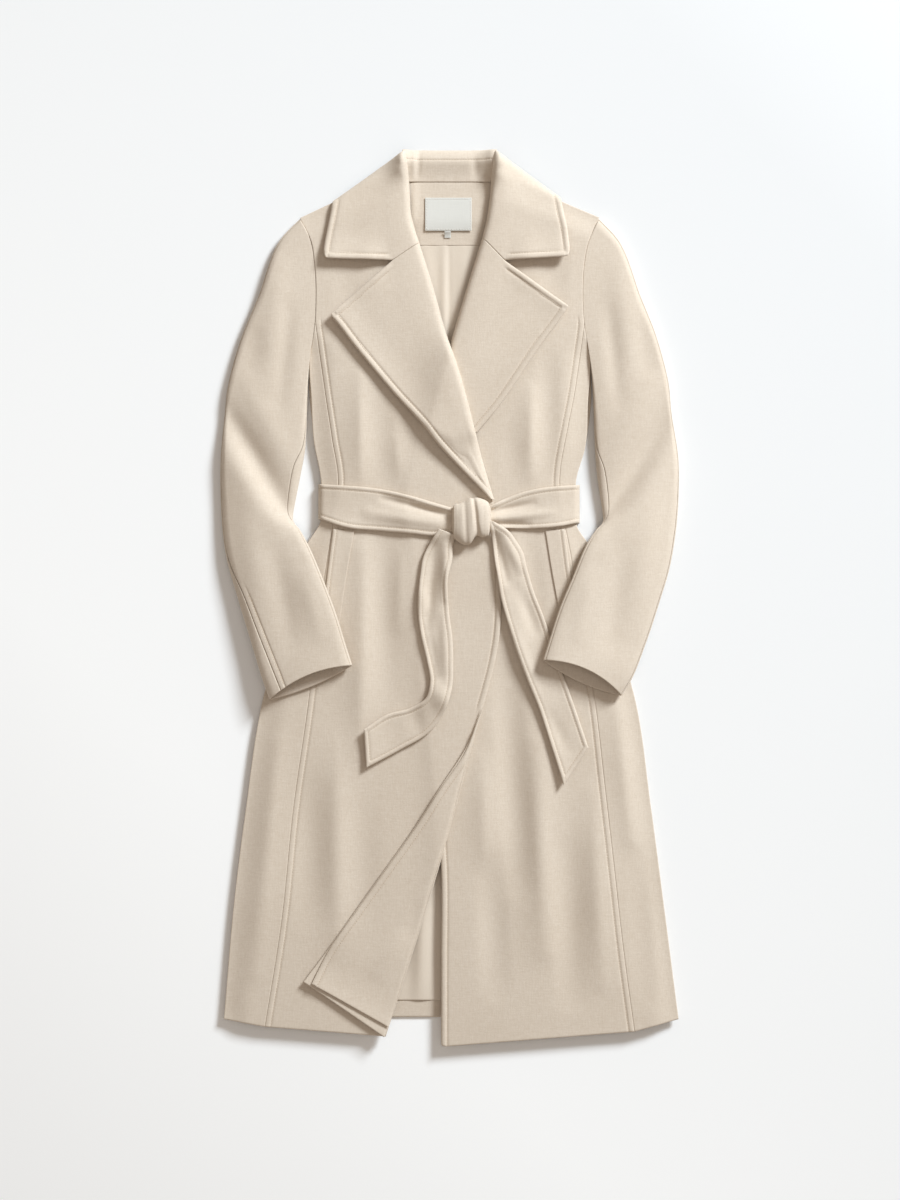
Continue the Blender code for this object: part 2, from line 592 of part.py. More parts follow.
def arm_frame(arm):
    """One section of the sleeve: outer point, way inwards, way up the arm, and width."""
    outer = np.array([arm.out_x, arm.out_y])
    across = np.array([arm.in_x, arm.in_y]) - outer
    width = np.linalg.norm(across)
    side = across / width
    up_arm = np.array([-side[1], side[0]])
    return outer, side, up_arm * math.copysign(1.0, up_arm[1]), width


def arm_point(arm, place, top, depth):
    """Point on a section, place mm in from the outer edge, on its top or its underside."""
    outer, side, up_arm, width = arm_frame(arm)
    share = np.clip(place / width, 0.0, 1.0)
    bulge = 1.0 - (2.0 * share - 1.0) ** 2
    bow = arm.bow_top if top else arm.bow_under
    base = arm.out_z + (arm.in_z - arm.out_z) * share
    crown = arm.crown * bulge if top else 0.0
    return (*(outer + side * place + up_arm * bow * bulge), base + depth + crown)


def arm_turn(arm, centre, start, inset):
    """Rounded edge of a section, half a turn downwards or upwards from the start angle."""
    radius = TUBE_HEIGHT / 2
    turn = []
    for step in range(ARC_STEPS * 2 + 1):
        angle = start - math.pi * step / (ARC_STEPS * 2)
        reach = (radius - inset) * math.cos(angle)
        rise = radius + (radius - inset) * math.sin(angle)
        upper = math.sin(angle) > 0.01
        turn.append(arm_point(arm, centre + reach, upper, rise))
    return turn


def arm_wall(arms, inset):
    """Top and under walls of the sleeve, each a grid of points, inset from the outside."""
    radius = TUBE_HEIGHT / 2
    above = TUBE_HEIGHT - inset
    tops, unders = [], []
    for arm in arms:
        width = arm_frame(arm)[3]
        first = max(arm.seam, radius + 1.0)
        last = width - FRONT_SEAM
        places = np.linspace(first + SEWN / 2, last - SEWN / 2, ARM_ACROSS + 1)
        tops.append([arm_point(arm, place, True, above) for place in places])
        under = [arm_point(arm, last + SEWN / 2, True, above)]
        under += arm_turn(arm, width - radius, math.pi / 2, inset)
        for place in np.linspace(width - radius, radius, ARM_ACROSS)[1:-1]:
            under.append(arm_point(arm, place, False, inset))
        under += arm_turn(arm, radius, -math.pi / 2, inset)
        under.append(arm_point(arm, first - SEWN / 2, True, above))
        unders.append(under)
    return np.array(tops), np.array(unders)


def lifted(arm, bed):
    """The section, raised where what it passes over would touch its underside."""
    width = arm_frame(arm)[3]
    places = np.linspace(ARM_PROBE_END, width - ARM_PROBE_END, ARM_PROBES)
    under = np.array([arm_point(arm, place, False, 0.0) for place in places])
    tops = bed.tops(under[None, :, :2])[0]
    if tops.max() <= 0.0:
        return arm
    short = max(0.0, (tops + ARM_CLEAR - under[:, 2]).max())
    return arm._replace(out_z=arm.out_z + short, in_z=arm.in_z + short)


def build_sleeves(bed, wool):
    """Two-piece sleeves: flattened open tubes, bent at the elbow, cuffs over the skirt."""
    for side, rows in (("right", SLEEVE_RIGHT), ("left", SLEEVE_LEFT)):
        arms = [Arm(*row) for row in through(rows, ARM_SPACING)]
        arms = [arm._replace(out_z=max(arm.out_z, 0.0), in_z=max(arm.in_z, 0.0)) for arm in arms]
        arms[ARM_BESIDE:] = [lifted(arm, bed) for arm in arms[ARM_BESIDE:]]
        outside = arm_wall(arms, 0.0)
        inside = arm_wall(arms, WOOL)
        wall(f"top_sleeve_{side}", outside[0], inside[0] - outside[0], wool)
        wall(f"under_sleeve_{side}", outside[1], inside[1] - outside[1], wool)


def main():
    """Clear the scene and build the coat from the floor up."""
    for existing in list(bpy.data.objects):
        bpy.data.objects.remove(existing)
    wool = cloth_material("oatmeal_wool", (0.62, 0.52, 0.42), 0.85)
    lining = cloth_material("beige_lining", (0.60, 0.50, 0.41), 0.45)
    label_cloth = cloth_material("white_label", (0.78, 0.77, 0.74), 0.6)
    bed = Bed()
    build_back(bed, wool, lining, label_cloth)
    build_fronts(bed, wool)
    build_collar(bed, wool)
    build_belt(bed, wool)
    build_sleeves(bed, wool)


main()
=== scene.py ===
"""Wrap coat in pale oatmeal wool, laid flat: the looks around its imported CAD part.

Every panel of cloth is cut from a short table of rows, in millimetres, and laid on what is
already there. X runs from the wearer's right to the wearer's left, Y from hem to collar, and
right and left in a name are the wearer's.
"""

from __future__ import annotations

import logging
import math
from collections.abc import Callable, Sequence
from dataclasses import dataclass, field
from enum import Enum

import bpy
import numpy as np
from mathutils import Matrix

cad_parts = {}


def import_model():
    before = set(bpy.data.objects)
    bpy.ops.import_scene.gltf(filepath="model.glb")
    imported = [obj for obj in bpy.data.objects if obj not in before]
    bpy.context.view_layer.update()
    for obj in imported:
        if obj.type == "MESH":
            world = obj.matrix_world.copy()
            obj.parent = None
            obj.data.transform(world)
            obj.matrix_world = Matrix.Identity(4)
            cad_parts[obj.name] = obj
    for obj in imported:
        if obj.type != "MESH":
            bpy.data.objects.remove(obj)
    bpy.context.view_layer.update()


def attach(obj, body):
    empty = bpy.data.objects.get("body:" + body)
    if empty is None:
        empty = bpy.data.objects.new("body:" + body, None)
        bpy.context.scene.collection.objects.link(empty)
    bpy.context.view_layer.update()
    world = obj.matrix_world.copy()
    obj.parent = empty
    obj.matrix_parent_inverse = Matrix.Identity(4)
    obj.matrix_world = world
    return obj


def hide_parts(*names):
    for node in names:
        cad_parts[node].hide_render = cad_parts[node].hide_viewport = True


LOG = logging.getLogger("wrap_coat")
MM = 0.001
ROOT = "root"
Table = Sequence[Sequence[float]]
Level = Callable[[np.ndarray, np.ndarray], np.ndarray]


# ---------------------------------------------------------------- shading

class Value:
    """A number that varies over a surface, held as the output of a node."""

    def __init__(self, shader: Shader, socket: bpy.types.NodeSocket) -> None:
        """Wrap a socket of a shader's node tree."""
        self.shader = shader
        self.socket = socket

    def maths(self, operation: str, first: object, second: object) -> Value:
        """Add a Math node.

        Args:
            operation: The node's operation.
            first: A value or a number.
            second: A value or a number.

        Returns:
            The node's result.
        """
        node = self.shader.node("ShaderNodeMath", {"operation": operation}, {0: first, 1: second})
        return Value(self.shader, node.outputs[0])

    def __add__(self, other: object) -> Value:
        """Sum."""
        return self.maths("ADD", self, other)

    __radd__ = __add__

    def __mul__(self, other: object) -> Value:
        """Product."""
        return self.maths("MULTIPLY", self, other)

    __rmul__ = __mul__

    def __sub__(self, other: object) -> Value:
        """Difference."""
        return self.maths("SUBTRACT", self, other)

    def __rsub__(self, other: object) -> Value:
        """Difference, taken from a number."""
        return self.maths("SUBTRACT", other, self)


class Shader:
    """A material's node tree, written as expressions."""

    def __init__(self, name: str) -> None:
        """Make an empty material around one surface shader.

        Args:
            name: The material's name.
        """
        self.material = bpy.data.materials.new(name)
        self.material.use_nodes = True
        self.tree = self.material.node_tree
        self.surface = self.tree.nodes["Principled BSDF"]
        self.place = self.node("ShaderNodeTexCoord", {}, {}).outputs["Object"]

    def node(self, kind: str, settings: dict[str, object], inputs: dict) -> bpy.types.Node:
        """Add a node.

        Args:
            kind: The node's type.
            settings: Properties, set before the sockets.
            inputs: Socket name or number to a value, a socket, or a number or colour.

        Returns:
            The new node.
        """
        node = self.tree.nodes.new(kind)
        for key, value in settings.items():
            if key == "stops":
                self.set_stops(node.color_ramp, value)
            else:
                setattr(node, key, value)
        for key, value in inputs.items():
            self.feed(node.inputs[key], value)
        return node

    @staticmethod
    def set_stops(ramp: bpy.types.ColorRamp, stops: Sequence[tuple[float, tuple]]) -> None:
        """Give a ramp its stops, each a place and a colour.

        Args:
            ramp: The ramp.
            stops: Places and colours, rising.
        """
        for element, (place, colour) in zip(ramp.elements, (stops[0], stops[-1])):
            element.position, element.color = place, (*colour, 1.0)
        for place, colour in stops[1:-1]:
            ramp.elements.new(place).color = (*colour, 1.0)

    def feed(self, socket: bpy.types.NodeSocket, value: object) -> None:
        """Link a value to a socket, or set a number or colour on it.

        Args:
            socket: The socket to feed.
            value: A value, another node's socket, or a number or colour.
        """
        if isinstance(value, Value):
            self.tree.links.new(value.socket, socket)
        elif isinstance(value, bpy.types.NodeSocket):
            self.tree.links.new(value, socket)
        else:
            socket.default_value = value

    def stretched(self, scale: tuple[float, float, float]) -> bpy.types.NodeSocket:
        """Object place, scaled along each axis, so that a pattern can run one way."""
        node = self.node("ShaderNodeMapping", {}, {"Vector": self.place, "Scale": scale})
        return node.outputs[0]

    def noise(self, scale: float, detail: float = 2.0,
              place: bpy.types.NodeSocket | None = None) -> Value:
        """Soft noise, its scale in cells a metre.

        Args:
            scale: Cells a metre.
            detail: How many finer rounds it has.
            place: Where it is read, or none for the object's own place.

        Returns:
            The noise, from 0 to 1.
        """
        node = self.node("ShaderNodeTexNoise", {},
                         {"Vector": place or self.place, "Scale": scale, "Detail": detail})
        return Value(self, node.outputs["Fac"])

    def mixed(self, share: Value, first: tuple, second: tuple) -> bpy.types.NodeSocket:
        """Blend two colours by a value.

        Args:
            share: How much of the second shows.
            first: First colour.
            second: Second colour.

        Returns:
            The colour.
        """
        colours = {0: share, 6: (*first, 1.0), 7: (*second, 1.0)}
        node = self.node("ShaderNodeMix", {"data_type": "RGBA"}, colours)
        return node.outputs[2]

    def bumped(self, height: Value, distance: float, strength: float) -> bpy.types.NodeSocket:
        """Normal from a height, its distance in metres.

        Args:
            height: Height over the surface.
            distance: How high 1 stands.
            strength: How much of it shows.

        Returns:
            The normal.
        """
        node = self.node("ShaderNodeBump", {}, {"Height": height, "Distance": distance,
                                                "Strength": strength})
        return node.outputs[0]

    def finish(self, **sockets: object) -> bpy.types.Material:
        """Feed the surface's sockets, named with spaces as underscores.

        Args:
            sockets: Values, numbers or colours.

        Returns:
            The material.
        """
        for key, value in sockets.items():
            self.feed(self.surface.inputs[key.replace("_", " ")], value)
        return self.material


@dataclass(frozen=True)
class WoolFinish:
    """Brushed wool coating: melange fibres, a soft nap and a faint plain weave under it."""

    name: str = "oatmeal_wool"
    light: tuple[float, float, float] = (0.700, 0.612, 0.516)
    dark: tuple[float, float, float] = (0.582, 0.490, 0.394)
    threads: float = 620.0
    fuzz: float = 0.00028

    def make(self) -> bpy.types.Material:
        """Make the material.

        Returns:
            The material.
        """
        shader = Shader(self.name)
        warp = shader.noise(1.0, 1.0, shader.stretched((self.threads, self.threads * 0.14, 90)))
        weft = shader.noise(1.0, 1.0, shader.stretched((self.threads * 0.14, self.threads, 90)))
        fibre = shader.noise(1500, 3.0)
        cloud = shader.noise(9, 2.0)
        flecks = shader.noise(420, 2.0)
        tone = 0.30 * fibre + 0.25 * warp + 0.25 * weft + 0.22 * cloud + 0.30 * flecks
        ramp = shader.node("ShaderNodeValToRGB", {"stops": (
            (0.44, self.dark), (0.66, self.mean()), (0.86, self.light))}, {0: tone})
        height = 0.45 * fibre + 0.35 * warp + 0.35 * weft + 0.3 * flecks
        return shader.finish(
            Base_Color=ramp.outputs[0], Roughness=0.86 + 0.1 * fibre,
            Normal=shader.bumped(height, self.fuzz, 0.8), Sheen_Weight=0.18,
            Sheen_Roughness=0.55, Sheen_Tint=(1.0, 0.93, 0.84, 1.0), Specular_IOR_Level=0.2)

    def mean(self) -> tuple[float, ...]:
        """Colour half way between light and dark."""
        return tuple((a + b) / 2 for a, b in zip(self.light, self.dark))


@dataclass(frozen=True)
class LiningFinish:
    """Smooth twill lining with a faint sheen."""

    name: str = "beige_lining"
    light: tuple[float, float, float] = (0.715, 0.625, 0.525)
    dark: tuple[float, float, float] = (0.640, 0.550, 0.450)

    def make(self) -> bpy.types.Material:
        """Make the material.

        Returns:
            The material.
        """
        shader = Shader(self.name)
        twill = shader.noise(1.0, 1.0, shader.stretched((900, 260, 100)))
        cloud = shader.noise(14, 2.0)
        tone = 0.6 * twill + 0.4 * cloud
        return shader.finish(
            Base_Color=shader.mixed(tone, self.dark, self.light),
            Roughness=0.42 + 0.12 * cloud, Normal=shader.bumped(twill, 0.00008, 0.6),
            Sheen_Weight=0.1, Specular_IOR_Level=0.35)


@dataclass(frozen=True)
class LabelFinish:
    """Bare woven label: close satin ribs."""

    name: str = "white_label"
    light: tuple[float, float, float] = (0.70, 0.695, 0.655)
    dark: tuple[float, float, float] = (0.62, 0.61, 0.57)

    def make(self) -> bpy.types.Material:
        """Make the material.

        Returns:
            The material.
        """
        shader = Shader(self.name)
        ribs = shader.noise(1.0, 0.0, shader.stretched((1900, 60, 100)))
        rows = shader.noise(1.0, 0.0, shader.stretched((60, 2200, 100)))
        tone = 0.5 * ribs + 0.5 * rows
        return shader.finish(
            Base_Color=shader.mixed(tone, self.dark, self.light),
            Roughness=0.5 + 0.1 * ribs, Normal=shader.bumped(tone, 0.00006, 0.7),
            Sheen_Weight=0.05)


@dataclass(frozen=True)
class ThreadFinish:
    """Sewing thread, twisted."""

    name: str
    colour: tuple[float, float, float]

    def make(self) -> bpy.types.Material:
        """Make the material.

        Returns:
            The material.
        """
        shader = Shader(self.name)
        twist = shader.noise(2600, 1.0)
        darker = tuple(0.86 * part for part in self.colour)
        return shader.finish(
            Base_Color=shader.mixed(twist, darker, self.colour),
            Roughness=0.6 + 0.15 * twist, Normal=shader.bumped(twist, 0.00005, 0.6))


@dataclass(frozen=True)
class FloorFinish:
    """Matt pale floor, a little paler away from the key light, so that it looks even."""

    name: str = "pale_floor"
    near: tuple[float, float, float] = (0.715, 0.718, 0.724)
    far: tuple[float, float, float] = (0.980, 0.985, 0.990)

    def make(self) -> bpy.types.Material:
        """Make the material.

        Returns:
            The material.
        """
        shader = Shader(self.name)
        parts = shader.node("ShaderNodeSeparateXYZ", {}, {0: shader.place})
        across, up = (Value(shader, parts.outputs[axis]) for axis in (0, 1))
        share = 0.63 - 0.66 * across - 0.66 * up + 0.02 * shader.noise(3.0, 1.0)
        return shader.finish(
            Base_Color=shader.mixed(share, self.near, self.far),
            Roughness=0.9, Specular_IOR_Level=0.1)


@dataclass(frozen=True)
class Cloths:
    """The coat's materials."""

    wool: bpy.types.Material
    lining: bpy.types.Material
    label: bpy.types.Material
    thread: bpy.types.Material
    white_thread: bpy.types.Material

    def thread_of(self, cloth: bpy.types.Material) -> bpy.types.Material:
        """Thread that a cloth is sewn with."""
        return self.white_thread if cloth == self.label else self.thread


# ---------------------------------------------------------------- cloth

class Side(Enum):
    """How one side of a panel is finished."""

    SEAM = "sewn to its neighbour"
    BAND = "sewn to its neighbour, with topstitching along it"
    EDGE = "turned edge with topstitching"
    PLAIN = "turned edge without stitching"
    ROLL = "rolls over towards the inside"
    TUCKED = "ends under another piece"
    NECK = "top of the stand, stitched further down"
    LABEL = "turned edge of a label"
    WELT = "pocket opening, stitched close to its edge"
    SOFT = "soft fold, close to what is beside it"
    FALL = "goes over the shoulder"
    BELT = "edge of the belt"
    WRAP = "turns down round the body"


@dataclass(frozen=True)
class Form:
    """Sizes of a finished side, in millimetres."""

    radius: float = 0.0      # how far in the wall reaches its full thickness
    stitch: float = 0.0      # topstitching this far in, or none
    groove: float = 0.0      # how deep the stitches pull the cloth in
    puff: float = 0.0        # how far the cloth swells between edge and stitches
    drop: float = 0.0        # how far a rolled edge comes down
    stub: float = 0.0        # share of the thickness that is left at the very edge


FORMS = {
    Side.SEAM: Form(radius=1.2, stub=0.5),
    Side.BAND: Form(radius=1.5, stitch=7.0, groove=0.62, puff=0.35, stub=0.5),
    Side.EDGE: Form(radius=2.6, stitch=7.5, groove=0.7, puff=0.7),
    Side.PLAIN: Form(radius=2.2),
    Side.ROLL: Form(radius=8.0, drop=4.6),
    Side.TUCKED: Form(radius=0.5),
    Side.NECK: Form(radius=3.0, stitch=12.5, groove=0.5, puff=0.3),
    Side.LABEL: Form(radius=0.5, stitch=1.7, groove=0.12),
    Side.WELT: Form(radius=1.6, stitch=5.0, groove=0.4, puff=0.3),
    Side.SOFT: Form(radius=4.0),
    Side.FALL: Form(radius=9.0, drop=3.0),
    Side.BELT: Form(radius=2.4, stitch=5.6, groove=0.5, puff=0.3),
    Side.WRAP: Form(radius=5.0, drop=6.5),
}
STITCH_WIDTH = 1.25                      # half width of the groove that stitches pull
LIFT_REACH = 42.0                        # how far in from a side its lift is felt
SEAM_FADE = 0.03                         # share of a side over which a seam's edge fades
LIFT_FADE = 0.26                         # share of a side over which its lift grows past a seam
DROP_REACH = 9.0                         # how far in a rolled side comes down
SQUEEZE = 0.84                           # most of a narrow panel that its finished sides take
CORNER_STITCH = 1.2                      # how far stitches run past those of the next side
OFF_LINE = 0.8                           # how far off its line a stitch may be
HALF_SEWN = 0.6                          # share of being sewn that still carries stitches
LEAST_SLANT = 0.34                       # how slantwise a row may meet a side
CORNER_REACH = 1.5                       # how far a rounded corner is felt, in radii
CORNER_PULL = 0.42                       # how far it is pulled in, in radii
CORNER_LINES = 12                        # grid lines to the place that it is pulled towards
FOLD_FADE = 0.15                         # share of a fold's length over which it dies away
STITCH_RISE = np.array([0.0, 0.0, 0.12])     # how high thread lies in its groove
THINNEST = 0.05                          # least thickness of cloth in the mesh
LEAST_AREA = 0.31                        # least share of its width x length that a cut fills
SMALLEST_CUT = 10.0                      # least width and length that a sheet may state
NEAR = (0.0, 0.25, 0.7, 1.3, 2.1, 3.2, 4.6)
NEAR_DROP = (6.2, 8.0, 10.5)
NEAR_STITCH = (-2.2, -1.3, -0.6, 0.0, 0.6, 1.3, 2.2, 3.4)


def stops_of(side: Side) -> list[float]:
    """Distances from a finished side at which the grid has a line, in millimetres.

    Args:
        side: The side's finish.

    Returns:
        The distances, rising.
    """
    form = FORMS[side]
    stops = list(NEAR)                   # grid lines beside the edge, its drop or its stitches
    if form.stitch:
        stops += [form.stitch + away for away in NEAR_STITCH]
    elif form.drop:
        stops += NEAR_DROP
    return sorted(stop for stop in stops if stop >= 0.0)


def smooth(places: np.ndarray, knots: np.ndarray, values: np.ndarray) -> np.ndarray:
    """Smooth curve through the values at the knots, read at the places.

    Args:
        places: Where to read it.
        knots: Rising places of the values.
        values: A number, or a row of numbers, for each knot.

    Returns:
        A number, or a row, for each place.
    """
    slopes = np.gradient(values, knots, axis=0)
    index = np.clip(np.searchsorted(knots, places, side="right") - 1, 0, len(knots) - 2)
    width = knots[index + 1] - knots[index]
    t = (places - knots[index]) / width
    if values.ndim > 1:
        t, width = t[:, None], width[:, None]
    return ((2 * t**3 - 3 * t**2 + 1) * values[index] + (t**3 - 2 * t**2 + t) * slopes[index] * width
            + (3 * t**2 - 2 * t**3) * values[index + 1]
            + (t**3 - t**2) * slopes[index + 1] * width)


class Curve:
    """Smooth curve through a table's rows, read at any distance along its middle."""

    def __init__(self, table: Table) -> None:
        """Take the rows in order.

        Args:
            table: Rows of two ends, and of what goes with them.
        """
        self.table = np.array(table, dtype=float)
        self.mid = np.stack([self.table[:, 0:4:2].mean(axis=1), self.table[:, 1:4:2].mean(axis=1)], 1)
        steps = np.linalg.norm(np.diff(self.mid, axis=0), axis=1)
        self.knots = np.concatenate([[0.0], np.cumsum(steps)])

    @property
    def length(self) -> float:
        """Length of the middle line."""
        return float(self.knots[-1])

    def at(self, places: np.ndarray) -> np.ndarray:
        """Rows at the places."""
        return smooth(places, self.knots, self.table)


@dataclass(frozen=True)
class SeamLine:
    """A seam that two pieces share: their edges meet on it."""

    points: tuple[tuple[float, float], ...]
    gap: float = 0.06

    def x_at(self, y: np.ndarray, side: float) -> np.ndarray:
        """Where the seam runs at each height, half its gap to one side.

        Args:
            y: Places up the coat.
            side: -1 or 1: which neighbour's edge.

        Returns:
            Places across the coat.
        """
        table = np.array(self.points, dtype=float)
        held = np.clip(y, table[0, 1], table[-1, 1])
        return smooth(held, table[:, 1], table[:, 0]) + side * self.gap / 2


SEAMS = {
    "right_princess": SeamLine((
        (-231, -537), (-209.4, -400), (-195.4, -265), (-176, -127), (-164.3, -25),
        (-149.6, 68), (-145.4, 92), (-142, 118), (-139.4, 143), (-147.2, 200), (-154.8, 250),
        (-161.4, 297), (-168.0, 344))),
    "left_princess": SeamLine((
        (230, -542), (216.2, -440), (204.2, -334), (192.2, -230), (180.2, -127), (162.3, -25),
        (147.8, 68), (142.4, 95), (136.4, 142), (147.2, 215), (154.2, 250), (160.6, 292),
        (167.3, 341))),
    "right_armhole": SeamLine((
        (-175.4, 299), (-171.2, 320), (-168.2, 342), (-166.9, 368), (-167, 394), (-169, 420),
        (-173, 444), (-180, 460), (-187, 472))),
    "left_armhole": SeamLine((
        (175.2, 297), (170.6, 320), (167.2, 342), (165.4, 368), (165.6, 396), (167.6, 420),
        (172, 442), (178.6, 458), (185.6, 472))),
}


def line_distance(plan: np.ndarray, line: np.ndarray) -> np.ndarray:
    """Distance from each plan point to a line of straight stretches.

    Args:
        plan: Grid of points seen from above.
        line: The line's points in order.

    Returns:
        The distances.
    """
    nearest = np.full(plan.shape[:-1], 1e9)
    for start, end in zip(line, line[1:]):
        run = end - start
        size = float(run @ run)
        if size < 1e-9:
            continue
        t = np.clip(((plan - start) @ run) / size, 0.0, 1.0)
        away = np.linalg.norm(plan - start - t[..., None] * run, axis=-1)
        nearest = np.minimum(nearest, away)
    return nearest


@dataclass(frozen=True)
class Fold:
    """A soft trough (negative depth) or ridge along a line, in millimetres."""

    x0: float
    y0: float
    x1: float
    y1: float
    width: float
    depth: float

    def height(self, x: np.ndarray, y: np.ndarray) -> np.ndarray:
        """Height that the fold adds at each place.

        Args:
            x: Grid of places across the coat.
            y: Grid of places up the coat.

        Returns:
            The fold's height.
        """
        run = np.array([self.x1 - self.x0, self.y1 - self.y0])
        t = ((x - self.x0) * run[0] + (y - self.y0) * run[1]) / float(run @ run)
        held = np.clip(t, 0.0, 1.0)
        off = np.hypot(x - self.x0 - held * run[0], y - self.y0 - held * run[1])
        ends = np.sin(np.clip((t + FOLD_FADE) / (1 + 2 * FOLD_FADE), 0.0, 1.0) * math.pi)
        return self.depth * np.exp(-((off / self.width) ** 2)) * ends


def folded(folds: Sequence[Fold], x: np.ndarray, y: np.ndarray) -> np.ndarray:
    """Height of all the folds together.

    Args:
        folds: The folds.
        x: Grid of places across the coat.
        y: Grid of places up the coat.

    Returns:
        What they add at each place.
    """
    total = np.zeros_like(x)
    for fold in folds:
        total += fold.height(x, y)
    return total


def quarter(share: np.ndarray) -> np.ndarray:
    """Rise of a quarter round, from 0 to 1."""
    return np.sqrt(1.0 - (1.0 - np.clip(share, 0.0, 1.0)) ** 2)


class Field:
    """Heights on an even grid seen from above, in millimetres."""

    cell = 2.0
    closest = 1.2                        # greatest step between points laid on the grid
    west, south = -310.0, -590.0
    columns, rows = 311, 591

    def __init__(self) -> None:
        """Start at the floor everywhere."""
        self.heights = np.zeros((self.rows, self.columns))
        self.x, self.y = np.meshgrid(self.west + self.cell * np.arange(self.columns),
                                     self.south + self.cell * np.arange(self.rows))

    def index(self, points: np.ndarray) -> tuple[np.ndarray, np.ndarray]:
        """Grid column and row of each point, as fractions.

        Args:
            points: Points of any grid.

        Returns:
            Columns and rows.
        """
        column = np.clip((points[..., 0] - self.west) / self.cell, 0, self.columns - 1.001)
        row = np.clip((points[..., 1] - self.south) / self.cell, 0, self.rows - 1.001)
        return column, row

    def read(self, points: np.ndarray) -> np.ndarray:
        """Height at each point, between the grid's cells.

        Args:
            points: Points of any grid.

        Returns:
            The heights.
        """
        column, row = self.index(points)
        i, j = column.astype(int), row.astype(int)
        u, v = column - i, row - j
        low = self.heights[j, i] * (1 - u) + self.heights[j, i + 1] * u
        high = self.heights[j + 1, i] * (1 - u) + self.heights[j + 1, i + 1] * u
        return low * (1 - v) + high * v


def around(heights: np.ndarray) -> list[np.ndarray]:
    """The four neighbours' heights of every cell."""
    wide = np.pad(heights, 1, mode="edge")
    return [wide[:-2, 1:-1], wide[2:, 1:-1], wide[1:-1, :-2], wide[1:-1, 2:]]


class Bed(Field):
    """All that has been laid so far."""

    def add(self, points: np.ndarray) -> None:
        """Lay a grid of points: every cell that it covers keeps the highest top.

        Args:
            points: Grid of a piece's top.
        """
        fine = points
        for axis in (0, 1):
            step = np.linalg.norm(np.diff(fine[..., :2], axis=axis), axis=-1).max()
            times = max(1, math.ceil(step / self.closest))
            count = (fine.shape[axis] - 1) * times + 1
            places = np.linspace(0.0, fine.shape[axis] - 1.0, count)
            low = np.minimum(places.astype(int), fine.shape[axis] - 2)
            share = (places - low).reshape((-1, 1, 1) if axis == 0 else (1, -1, 1))
            first, second = np.take(fine, low, axis), np.take(fine, low + 1, axis)
            fine = first + (second - first) * share
        flat = fine.reshape(-1, 3)
        column = np.rint((flat[:, 0] - self.west) / self.cell).astype(int)
        row = np.rint((flat[:, 1] - self.south) / self.cell).astype(int)
        keep = (column >= 0) & (column < self.columns) & (row >= 0) & (row < self.rows)
        np.maximum.at(self.heights, (row[keep], column[keep]), flat[keep, 2])

    def copied(self) -> Bed:
        """The bed as it is now, for pieces that lie side by side.

        Returns:
            The copy.
        """
        made = Bed()
        made.heights = self.heights.copy()
        return made

    def drape(self, gap: float, level: Level | None, passes: int) -> Field:
        """Cloth laid over everything.

        Args:
            gap: Clear height between the cloth and what is below.
            level: The cloth's own level, where nothing lifts it.
            passes: How far the cloth bridges a step: rounds of averaging.

        Returns:
            Height of the cloth's underside.
        """
        laid = Field()
        lowest = np.maximum.reduce([self.heights, *around(self.heights)])
        lowest = np.where(lowest > 0.0, lowest + gap, 0.0)
        if level is not None:
            lowest = np.maximum(lowest, level(laid.x, laid.y))
        height = lowest
        for _ in range(passes):
            height = np.maximum(lowest, sum(around(height)) / 4)
        for _ in range(2):
            height = (height + sum(around(height)) / 4) / 2
        laid.heights = height
        return laid


@dataclass
class Stitching:
    """Running stitches that lie in a groove, all on one mesh."""

    name: str
    lines: Sequence[np.ndarray]
    pitch: float = 3.4
    length: float = 2.5
    width: float = 0.62
    shortest: float = 0.3
    around: int = 6                      # sides of a stitch
    profile: Table = ((-0.5, 0.25), (-0.28, 1.0), (0.28, 1.0), (0.5, 0.25))

    def build(self, material: bpy.types.Material) -> None:
        """Make every stitch a small capsule of four rings: shares of its length and width.

        Args:
            material: The thread.
        """
        vertices, faces = [], []
        for line in self.lines:
            steps = np.linalg.norm(np.diff(line, axis=0), axis=1)
            places = np.concatenate([[0.0], np.cumsum(steps)])
            for middle in np.arange(self.pitch / 2, places[-1] - self.pitch / 2, self.pitch):
                ends = [np.array([np.interp(middle + part * self.length, places, line[:, axis])
                                  for axis in range(3)]) for part in (-0.5, 0.5)]
                self.add_stitch(vertices, faces, ends)
        if vertices:
            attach(mesh_object(self.name, np.array(vertices), faces, material), ROOT)

    def add_stitch(self, vertices: list, faces: list, ends: Sequence[np.ndarray]) -> None:
        """Append one capsule between two ends.

        Args:
            vertices: Points so far; the stitch's are added.
            faces: Faces so far; the stitch's are added.
            ends: Where it starts and where it ends.
        """
        along = ends[1] - ends[0]
        size = np.linalg.norm(along)
        if size < self.shortest:
            return
        along = along / size
        side = np.cross([0.0, 0.0, 1.0], along)
        side /= max(np.linalg.norm(side), 1e-6)
        up = np.cross(along, side)
        start, middle = len(vertices), (ends[0] + ends[1]) / 2
        for place, share in self.profile:
            for turn in range(self.around):
                angle = 2 * math.pi * turn / self.around
                out = side * math.cos(angle) + up * math.sin(angle)
                vertices.append(middle + along * place * size + out * share * self.width / 2)
        last = start + self.around * (len(self.profile) - 1)
        for ring in range(start, last, self.around):
            for turn in range(self.around):
                a, b = ring + turn, ring + (turn + 1) % self.around
                faces.append((a, b, b + self.around, a + self.around))
        faces.append(tuple(start + turn for turn in reversed(range(self.around))))
        faces.append(tuple(last + turn for turn in range(self.around)))


